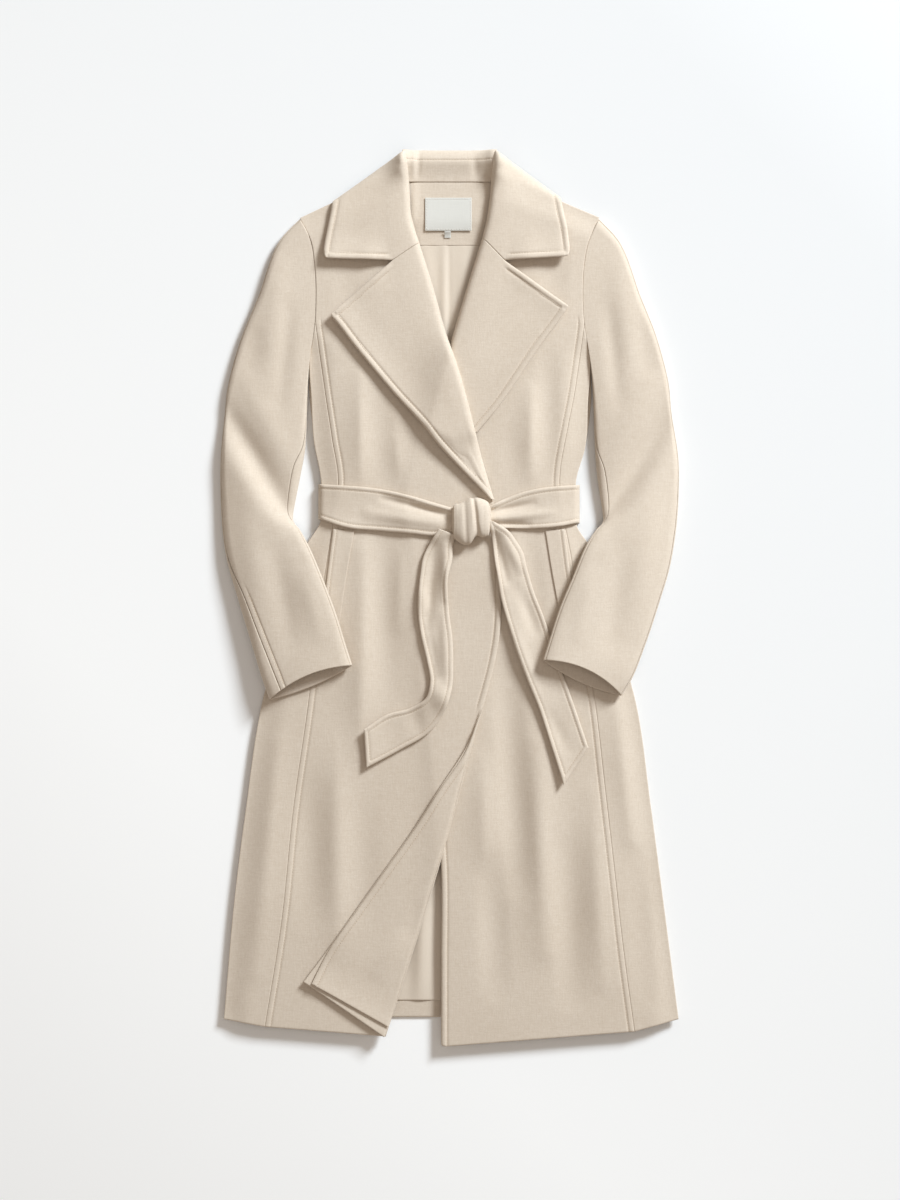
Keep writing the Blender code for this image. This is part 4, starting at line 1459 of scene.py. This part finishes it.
@dataclass
class Belt:
    """The tied belt: two stretches, the knot and two tails."""

    thickness: float = 3.4
    right: Table = (
        (-164.4, 98.5, -164.4, 142), (-126, 87, -126, 139.5),
        (-90, 83.5, -90, 136), (-45, 79.5, -45, 126), (-21, 77, -21, 119), (6, 80, 6, 111))
    left: Table = (
        (47, 85, 47, 113), (70, 86.5, 70, 124), (92, 86, 92, 132), (119, 87, 119, 137.5),
        (140, 89.5, 140, 139.5), (162.0, 94, 162.0, 141))
    tail_right: Table = (
        (-14, 86, 7, 78), (-24, 70, 3.5, 64), (-33, 52, 3, 48), (-37, 30, -2, 28),
        (-40, -17, -1, -18), (-36, -48, 3, -50), (-29, -78, 4, -78), (-25, -104, 2.5, -112),
        (-30, -124, -6, -139), (-48, -136, -24, -165), (-79, -145, -62, -189),
        (-107, -163, -104, -211))
    tail_left: Table = (
        (46, 98, 56, 94), (50, 84, 72, 84), (53, 66, 83, 70), (55, 48, 91, 56), (58, 30, 96, 36),
        (63, 0, 105, 6), (73, -36, 116, -22), (84, -71, 127, -55), (97, -105, 139, -90),
        (111, -139, 151, -124), (126, -185, 162, -156), (141, -232, 172, -186))

    lifts: dict[str, tuple[float, float, float, float]] = field(default_factory=lambda: {
        "belt_right_stretch": (0.0, 0.0, 1.2, 0.6), "belt_left_stretch": (0.0, 0.0, 1.2, 0.6),
        "belt_tail_of_right": (0.0, 3.0, 2.6, 1.4), "belt_tail_of_left": (0.0, 2.6, 3.4, 1.2)})

    def build(self, bed: Bed, cloths: Cloths) -> None:
        """Lay stretches, tails and knot.

        Args:
            bed: What is already there; the pieces are added to it.
            cloths: The coat's materials.
        """
        belt, wrap, tucked = Side.BELT, Side.WRAP, Side.TUCKED
        stretch, tail = (wrap, tucked, belt, belt), (tucked, belt, belt, belt)
        for name, node, table, sides, folds in (
                ("belt_right_stretch", "belt_right", self.right, stretch,
                 (Fold(-84, 124, 8, 100, 5.0, -4.0), Fold(-104, 106, 6, 89, 8, 3.2),
                  Fold(-44, 119, 6, 107, 4, 2.0))),
                ("belt_left_stretch", "belt_left", self.left, (tucked, wrap, belt, belt),
                 (Fold(44, 105, 104, 118, 4.5, -3.4), Fold(44, 97, 128, 106, 6, 2.8),
                  Fold(44, 92, 98, 91, 4.5, -3.0))),
                ("belt_tail_of_right", "belt_tail_right", self.tail_right, tail,
                 (Fold(-20, 64, -30, -40, 8, -4.8), Fold(-5, 66, -5, 0, 7, 4.8),
                  Fold(-34, 20, -36, -30, 5, 1.8), Fold(-8, -20, -4, -104, 6, 2.4),
                  Fold(-24, -50, -18, -100, 6, -2.0), Fold(-50, -130, -34, -172, 12, -2.0),
                  Fold(-18, -108, 0, -140, 14, 5.4), Fold(-30, -20, -34, 10, 6, 1.6))),
                ("belt_tail_of_left", "belt_tail_left", self.tail_left, tail,
                 (Fold(54, 80, 70, 20, 6, -4.4), Fold(66, 84, 88, 34, 7, 3.8),
                  Fold(84, 14, 108, -46, 8, -2.4), Fold(76, -30, 108, -120, 7, 1.8),
                  Fold(122, -140, 146, -190, 9, -1.6)))):
            Panel(name, table, sides, self.thickness, node, passes=40, spacing=2.5, folds=folds,
                  edge_lift=self.lifts[name]).build(bed, cloths, cloths.wool)
        Knot().build(bed, cloths)


@dataclass
class Knot:
    """The knot: the belt wound once round both stretches, its folds side by side."""

    height: float = 21.0
    rings: int = 120
    sides: int = 64
    ends: int = 20                       # rings at each end that the stretches' height ignores
    sunk: float = 1.0                    # how far it sinks into what it lies on
    crowding: float = 0.35               # how far the rings crowd towards both ends
    square_side: float = 0.82            # powers below 1 square the section off
    square_top: float = 0.8
    give: float = 4.0                    # cloth under the creases, beside the section's own
    hollow: float = 0.2                  # how far a crease also draws top and bottom in
    outline: Table = (   # x, top, bottom, height share
        (2.6, 106, 84, 0.50), (4, 113, 76, 0.74), (7, 116.5, 72, 0.86), (10, 117, 69.5, 0.92),
        (14, 118, 67.5, 0.96), (18, 120, 65.8, 0.98), (22, 122.5, 65.5, 1.0),
        (25, 124.2, 67.0, 1.02), (28, 124.8, 71.0, 1.04), (31, 124.8, 75.2, 1.04),
        (36, 124.0, 75.6, 1.02), (41, 122.5, 75.0, 1.0), (45, 120.5, 76.0, 0.95),
        (48.5, 117, 79.5, 0.82), (50.8, 110, 88, 0.52))
    creases: Table = (   # x at the top, x at the bottom, width, depth
        (10.8, 10.2, 2.2, 0.3), (18.0, 21.0, 2.8, 1.5), (29.0, 35.0, 2.6, 4.2),
        (42.2, 42.6, 2.4, 0.3))

    def build(self, bed: Bed, cloths: Cloths) -> None:
        """Make the knot as one closed bundle that rests on both stretches.

        Args:
            bed: What is already there.
            cloths: The coat's materials.
        """
        table = np.array(self.outline, dtype=float)
        ease = (1 - np.cos(np.linspace(0, math.pi, self.rings))) / 2
        steps = self.crowding * ease + (1 - self.crowding) * np.linspace(0, 1, self.rings)
        xs = table[0, 0] + (table[-1, 0] - table[0, 0]) * steps
        top, bottom, share = smooth(xs, table[:, 0], table[:, 1:]).T
        centre = np.stack([xs, (top + bottom) / 2], axis=1)
        base = float(np.median(bed.read(centre[self.ends:-self.ends]))) - self.sunk
        angles = np.linspace(0, 2 * math.pi, self.sides, endpoint=False)
        points = np.empty((self.rings, self.sides, 3))
        for number, x in enumerate(xs):
            half, middle = (top[number] - bottom[number]) / 2, centre[number, 1]
            swell = self.height * share[number] / 2
            along = np.cos(angles)
            pinch = np.zeros(self.sides)
            for at_top, at_bottom, width, depth in self.creases:
                line = at_bottom + (at_top - at_bottom) * (along + 1) / 2
                pinch += depth * np.exp(-((x - line) / width) ** 2)
            reach = np.sign(along) * np.abs(along) ** self.square_side
            rise = np.sign(np.sin(angles)) * np.abs(np.sin(angles)) ** self.square_top
            scale = 1 - pinch / (swell + self.give)
            points[number, :, 0] = x
            points[number, :, 1] = middle + half * reach * (1 - self.hollow * (1 - scale))
            points[number, :, 2] = base + swell + swell * rise * scale
        points[..., 2] = np.maximum(points[..., 2], base)
        vertices = np.concatenate([points.reshape(-1, 3), points[[0, -1]].mean(axis=1)])
        faces = []
        for ring in range(self.rings - 1):
            for side in range(self.sides):
                a, b = ring * self.sides + side, ring * self.sides + (side + 1) % self.sides
                faces.append((a, b, b + self.sides, a + self.sides))
        last, caps = (self.rings - 1) * self.sides, self.rings * self.sides
        for side in range(self.sides):
            following = (side + 1) % self.sides
            faces.append((caps, following, side))
            faces.append((caps + 1, last + side, last + following))
        knot = mesh_object("belt_tied_knot", vertices, faces, cloths.wool)
        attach(knot, ROOT)
        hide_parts("belt_knot")


@dataclass
class Sleeve:
    """One two-piece sleeve: a flattened open tube, bent at the elbow.

    A section is outer point, inner point, bow of top and underside, height of its outer and
    inner edge, crown, and how far the back and the front seam are in from its edges.
    """

    name: str
    table: Table
    folds: Sequence[Fold]
    height: float = 12.4                 # of the flattened tube
    edge: float = 11.0                   # how far in its top rounds down
    under_edge: float = 6.0              # how far in its underside rounds up
    wool: float = 2.4
    gap: float = 0.3                     # between top and under sleeve
    over: float = 0.8                    # above what it passes over
    passes: int = 40
    row_step: float = 3.6
    head: float = 70.0                   # how far down it follows the armhole
    head_round: float = 1.1
    cuff_round: float = 1.5
    seam_round: float = 1.2
    least_round: float = 0.12            # share of the thickness at the very edge
    back_least: float = 0.3              # least way in of the back seam, past the lining side
    front_least: float = 2.2             # least way in of the front seam
    stitch: float = 7.0                  # topstitching this far from the back seam
    groove: float = 0.8
    stitched_from: float = 6.5           # back seam this far in before it is topstitched
    stitched_over: float = 4.0           # and so much farther before it is so in full
    unstitched_rows: int = 4             # at the cuff
    fold_reach: float = 14.0             # folds die away so near the edges
    climb: float = 4.0                   # inner edge this high lies on what is below

    @property
    def start(self) -> np.ndarray:
        """The section at the armhole."""
        return np.array(self.table[0], dtype=float)

    def build(self, bed: Bed, cloths: Cloths) -> None:
        """Make the top and the under sleeve, and the stitching beside the back seam.

        Args:
            bed: What is already there.
            cloths: The coat's materials.
        """
        curve = Curve(self.table)
        near = np.array(stops_of(Side.SEAM))
        far = curve.length - np.array(stops_of(Side.PLAIN))[::-1]
        middle = np.linspace(near[-1], far[0], round(curve.length / self.row_step))[1:-1]
        places = np.concatenate([near, middle, far])
        arms = curve.at(places)
        arms[:, 6:8] = np.maximum(arms[:, 6:8], 0.0)
        laid = bed.drape(self.over, None, self.passes)
        ends = np.minimum(quarter(places / self.head_round),
                          quarter((curve.length - places) / self.cuff_round))
        fades = np.clip(1 - places / self.head, 0, 1) ** 2
        sewn = np.clip((arms[:, 9] - self.stitched_from) / self.stitched_over, 0, 1)
        for part in ("top", "under"):
            outer, inner = (np.array([self.section(arm, part, inset, laid, fade)
                                      for arm, fade in zip(arms, fades)])
                            for inset in (0.0, self.wool))
            middle_wall = (outer + inner) / 2
            around_seam = np.linalg.norm(np.diff(outer, axis=1), axis=2).cumsum(axis=1)
            around_seam = np.concatenate([np.zeros((len(outer), 1)), around_seam], axis=1)
            seam = np.minimum(around_seam, around_seam[:, -1:] - around_seam)
            rounds = np.minimum(quarter(seam / self.seam_round), ends[:, None])[..., None]
            rounds = np.maximum(rounds, self.least_round)
            outer = middle_wall + (outer - middle_wall) * rounds
            inner = middle_wall + (inner - middle_wall) * rounds
            if part == "top":
                groove = np.exp(-(((around_seam - self.stitch) / STITCH_WIDTH) ** 2))
                outer[..., 2] -= self.groove * groove * sewn[:, None]
            piece = wall_object(f"{self.name}_{part}_sleeve", inner, outer, cloths.wool)
            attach(piece, ROOT)
            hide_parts(f"{part}_sleeve_{self.name}")
            width = float(around_seam[:, -1].max())
            area = float((around_seam[:, -1] * np.gradient(places)).sum()) * MM * MM
            declared((width, curve.length), min(area, width * curve.length * MM * MM))
            if part == "top" and sewn.max() > 0.5:
                column = int(np.argmin(np.abs(around_seam.mean(axis=0) - self.stitch)))
                line = outer[sewn > 0.5, column][:-self.unstitched_rows] + STITCH_RISE
                Stitching(f"{self.name}_sleeve_stitches", [line]).build(cloths.thread)

    def section(self, arm: np.ndarray, part: str, inset: float, laid: Field, fade: float
                ) -> np.ndarray:
        """One section of a part's wall.

        Args:
            arm: The section's row of the table.
            part: "top" or "under".
            inset: How far inside the sleeve's outside.
            laid: Cloth laid on what the sleeve passes over.
            fade: How much the section follows the armhole.

        Returns:
            Points round the part.
        """
        width = math.hypot(arm[2] - arm[0], arm[3] - arm[1])
        first = max(arm[9], inset + self.back_least)
        last = width - max(arm[10], inset + self.front_least)
        half_gap = self.gap / 2
        if part == "top":
            stops = np.array([0.0, 0.3, 0.8, 1.4, 2.4, 4.0, 5.4, 6.2, 6.7, 7.0, 7.3, 7.8, 8.6, 10.0])
            rest = np.linspace(10.0, last - first - 3.0, 24)[1:]
            end = last - first - np.array([2.2, 1.4, 0.8, 0.3, 0.0])
            share = np.concatenate([stops, rest, end]) / (last - first)
            places = first + half_gap + share * (last - first - self.gap)
            return self.points(arm, places, True, inset, laid, fade)
        seam = last + half_gap + np.array([0.0, 0.3, 0.8, 1.5])
        turn = np.linspace(math.pi / 2, 0.0, 10)
        bend = width - inset - (self.edge - inset) * (1 - np.cos(turn))
        bend = seam[-1] + (bend - bend[0]) * (width - inset - seam[-1]) / (bend[-1] - bend[0])
        upper_in = self.points(arm, np.concatenate([seam, bend[1:]]), True, inset, laid, fade)
        corner = (self.under_edge - inset) * (1 - np.cos(np.linspace(0.0, math.pi / 2, 7)[1:]))
        under = np.concatenate([width - inset - corner, (inset + corner)[::-1]])
        across = np.linspace(under[5], under[6], 22)[1:-1]
        under = np.concatenate([under[:6], across, under[6:]])
        lower = self.points(arm, under, False, inset, laid, fade)
        rise = np.concatenate([np.linspace(0, 0.8, 9), [0.86, 0.91, 0.95, 0.98, 1.0]]) ** 2
        back = inset + (first - half_gap - inset) * rise
        upper_out = self.points(arm, back, True, inset, laid, fade)
        return np.concatenate([upper_in, lower, upper_out])

    def points(self, arm: np.ndarray, places: np.ndarray, top: bool, inset: float,
               laid: Field, fade: float) -> np.ndarray:
        """Points on a section's top or underside, places in from its outer edge.

        Args:
            arm: The section's row of the table.
            places: How far in from the outer edge.
            top: Whether they are on the top.
            inset: How far inside the sleeve's outside.
            laid: Cloth laid on what the sleeve passes over.
            fade: How much the section follows the armhole.

        Returns:
            The points.
        """
        outer, inner = arm[0:2], arm[2:4]
        width = float(np.linalg.norm(inner - outer))
        side = (inner - outer) / width
        up_arm = np.array([-side[1], side[0]])
        up_arm *= math.copysign(1.0, up_arm[1])
        share = np.clip(places / width, 0.0, 1.0)
        bulge = 1 - (2 * share - 1) ** 2
        bow = (arm[4] if top else arm[5]) * bulge
        spots = outer + places[:, None] * side + bow[:, None] * up_arm
        if fade > 0.0:
            start = self.start
            own = start[0:2] + share[:, None] * (start[2:4] - start[0:2])
            reach = start[4] * bulge * math.copysign(1.0, -start[0])
            seam = SEAMS[f"{self.name}_armhole"].x_at(own[:, 1], math.copysign(1.0, start[0]))
            spots[:, 0] += fade * (seam - own[:, 0] - reach)
        near = np.minimum(places, width - places) - inset
        base = arm[6] + (arm[7] - arm[6]) * share
        half = self.height / 2
        floor = laid.read(spots)
        climb = float(np.clip(arm[7] / self.climb, 0.0, 1.0))
        middle = np.maximum(base, floor * climb) + half
        if top:
            crown = arm[8] * bulge + folded(self.folds, spots[:, 0], spots[:, 1]) * quarter(
                near / self.fold_reach)
            height = middle + (half - inset + crown) * quarter(near / (self.edge - inset))
        else:
            height = middle - (half - inset) * quarter(near / (self.under_edge - inset))
        return np.column_stack([spots, height])


@dataclass
class Sleeves:
    """Both sleeves."""

    right: Table = (
        (-188.5, 473, -176.2, 300, 15, 15, 0, 0, 0.0, 1.6, 1.6),
        (-212, 447, -177.4, 268, 12, 12, 0, 0, 0.8, 1.6, 1.6),
        (-240, 374, -178.6, 226, 6, 6, 0, 0, 2.6, 1.6, 1.6),
        (-262, 320, -180.5, 186, 0, 0, 0, 0, 3.4, 1.6, 5),
        (-277, 265, -187, 150, -4, -4, 0, 0, 2.2, 1.6, 13),
        (-281, 229, -195.6, 104, -6, -6, 0, 0, 0.0, 1.6, 10),
        (-286, 176, -194, 94, -6, -6, 0, 4, 3.4, 1.6, 1.6),
        (-286, 124, -186, 84, -4, -4, 0, 10, 4.6, 1.6, 1.6),
        (-280, 58, -172, 58, 0, 0, 3, 15, 4.0, 1.6, 1.6),
        (-264, -1, -156, 20, 0, 0, 6, 19, 3.4, 9, 1.6),
        (-247, -56, -141, -20, 0, 0, 10, 19, 3.2, 13, 1.6),
        (-232, -104, -128, -62, 4, -3, 14, 19, 4.0, 17, 1.6),
        (-224, -126.5, -121, -83.5, 10, -5, 14, 19, 5.0, 18, 1.6))
    left: Table = (
        (186.5, 473, 176.2, 298, 15, 15, 0, 0, 0.0, 1.6, 1.6),
        (210, 447, 178, 266, 12, 12, 0, 0, 0.8, 1.6, 1.6),
        (238, 376, 179.5, 222, 6, 6, 0, 0, 2.6, 1.6, 1.6),
        (257, 328, 181, 182, 0, 0, 0, 0, 3.4, 1.6, 5),
        (272, 272, 184, 148, -4, -4, 0, 0, 2.2, 1.6, 13),
        (277, 226, 190.6, 104, -6, -6, 0, 0, 0.0, 1.6, 10),
        (285, 174, 190, 94, -6, -6, 0, 4, 3.4, 1.6, 1.6),
        (285, 122, 181, 84, -4, -4, 0, 10, 4.6, 1.6, 1.6),
        (276, 48, 167, 62, 0, 0, 3, 16, 4.0, 1.6, 1.6),
        (260, -8, 152, 26, 0, 0, 6, 19, 3.4, 1.6, 1.6),
        (243, -58, 136, -12, 0, 0, 10, 20, 3.2, 1.6, 1.6),
        (224, -104, 122, -55, 5, -3, 14, 22, 4.0, 1.6, 1.6),
        (213, -121.5, 115, -77, 12, -6, 14, 23, 5.0, 1.6, 1.6))
    right_folds: tuple[Fold, ...] = (
        Fold(-280, 236, -204, 112, 13, -4.2), Fold(-284, 196, -214, 92, 17, 3.4),
        Fold(-256, 268, -196, 160, 15, 2.2), Fold(-212, 420, -226, 310, 16, 2.4),
        Fold(-200, 360, -212, 240, 10, -2.4), Fold(-238, 330, -250, 280, 12, -1.8),
        Fold(-252, 120, -236, -50, 18, 2.4), Fold(-216, 60, -196, -60, 14, -2.6),
        Fold(-180, 30, -160, -50, 11, 1.8))
    left_folds: tuple[Fold, ...] = (
        Fold(276, 230, 200, 112, 13, -4.2), Fold(282, 192, 212, 92, 17, 3.4),
        Fold(252, 268, 192, 160, 15, 2.2), Fold(210, 420, 224, 310, 16, 2.2),
        Fold(198, 360, 210, 240, 10, -2.4), Fold(236, 340, 248, 280, 12, -1.6),
        Fold(250, 120, 234, -50, 18, 2.2), Fold(214, 60, 196, -60, 14, -2.6),
        Fold(176, 30, 156, -50, 11, 1.8))

    def build(self, bed: Bed, cloths: Cloths) -> None:
        """Make both sleeves."""
        Sleeve("right", self.right, self.right_folds).build(bed, cloths)
        Sleeve("left", self.left, self.left_folds).build(bed, cloths)


# ---------------------------------------------------------------- studio

@dataclass(frozen=True)
class Lamp:
    """A square soft light that looks at the coat's middle: metres and watts."""

    name: str
    place: tuple[float, float, float]
    size: float
    power: float
    colour: tuple[float, float, float]

    def hang(self) -> None:
        """Hang it at its place."""
        lamp = bpy.data.lights.new(f"{self.name}_light", "AREA")
        lamp.size, lamp.energy, lamp.color = self.size, self.power, self.colour
        holder = bpy.data.objects.new(lamp.name, lamp)
        bpy.context.scene.collection.objects.link(holder)
        holder.location = self.place
        x, y, z = self.place
        holder.rotation_euler = (math.atan2(math.hypot(x, y), z), 0.0, math.atan2(x, -y))


@dataclass(frozen=True)
class Studio:
    """Pale floor, soft light from the upper right, and a camera straight above, in metres."""

    floor_size: float = 14.0
    floor_drop: float = 0.0006
    lamps: tuple[Lamp, ...] = (
        Lamp("key", (3.05, 3.45, 2.65), 1.35, 402.0, (0.88, 0.95, 1.0)),
        Lamp("overhead", (0.2, -0.2, 3.6), 3.2, 16.0, (1.0, 0.93, 0.86)))
    air_colour: tuple[float, float, float, float] = (1.0, 0.885, 0.775, 1.0)
    air_strength: float = 0.33
    camera_place: tuple[float, float, float] = (0.0, -0.0025, 3.0)
    view_height: float = 1.5
    sensor: float = 36.0                 # in millimetres
    farthest: float = 100.0

    def build(self) -> None:
        """Set up floor, lights and camera."""
        bpy.ops.object.select_all(action="DESELECT")
        bpy.ops.mesh.primitive_plane_add(size=self.floor_size,
                                         location=(0.0, 0.0, -self.floor_drop))
        floor = bpy.context.active_object
        floor.name = "studio_floor"
        bpy.ops.object.transform_apply(location=True, rotation=True, scale=True)
        floor.data.materials.append(FloorFinish().make())
        for lamp in self.lamps:
            lamp.hang()
        world = bpy.data.worlds.new("studio_air")
        world.use_nodes = True
        air = world.node_tree.nodes["Background"]
        air.inputs["Color"].default_value = self.air_colour
        air.inputs["Strength"].default_value = self.air_strength
        bpy.context.scene.world = world
        bpy.context.scene.view_settings.view_transform = "Standard"
        self.camera()

    def camera(self) -> None:
        """Add the camera, upright over the coat's middle."""
        lens = bpy.data.cameras.new("overhead_camera")
        lens.sensor_fit = "VERTICAL"
        lens.sensor_height = self.sensor
        lens.lens = self.sensor * self.camera_place[2] / self.view_height
        lens.clip_end = self.farthest
        holder = bpy.data.objects.new("overhead_camera", lens)
        bpy.context.scene.collection.objects.link(holder)
        holder.location = self.camera_place
        bpy.context.scene.camera = holder


def main() -> None:
    """Build the coat from the floor up, then the studio."""
    logging.basicConfig(level=logging.INFO, format="%(name)s: %(message)s")
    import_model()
    cloths = Cloths(
        wool=WoolFinish().make(), lining=LiningFinish().make(), label=LabelFinish().make(),
        thread=ThreadFinish("wool_thread", (0.60, 0.49, 0.37)).make(),
        white_thread=ThreadFinish("label_thread", (0.78, 0.75, 0.70)).make())
    bed = Bed()
    fronts, lapels, collar = Fronts(BodyLevel()), Lapels(), Collar()
    BackAndNeck().build(bed, cloths)
    fronts.build_left(bed, cloths)
    below = bed.copied()
    lapels.build_one("left", bed, cloths, below)
    collar.build_one("left", bed, cloths, below)
    fronts.build_right(bed, cloths)
    TurnedCorner().build(bed, cloths)
    below = bed.copied()
    lapels.build_one("right", bed, cloths, below)
    collar.build_one("right", bed, cloths, below)
    fronts.build_welts(bed, cloths)
    Belt().build(bed, cloths)
    Sleeves().build(bed, cloths)
    Studio().build()


if __name__ == "__main__":
    main()
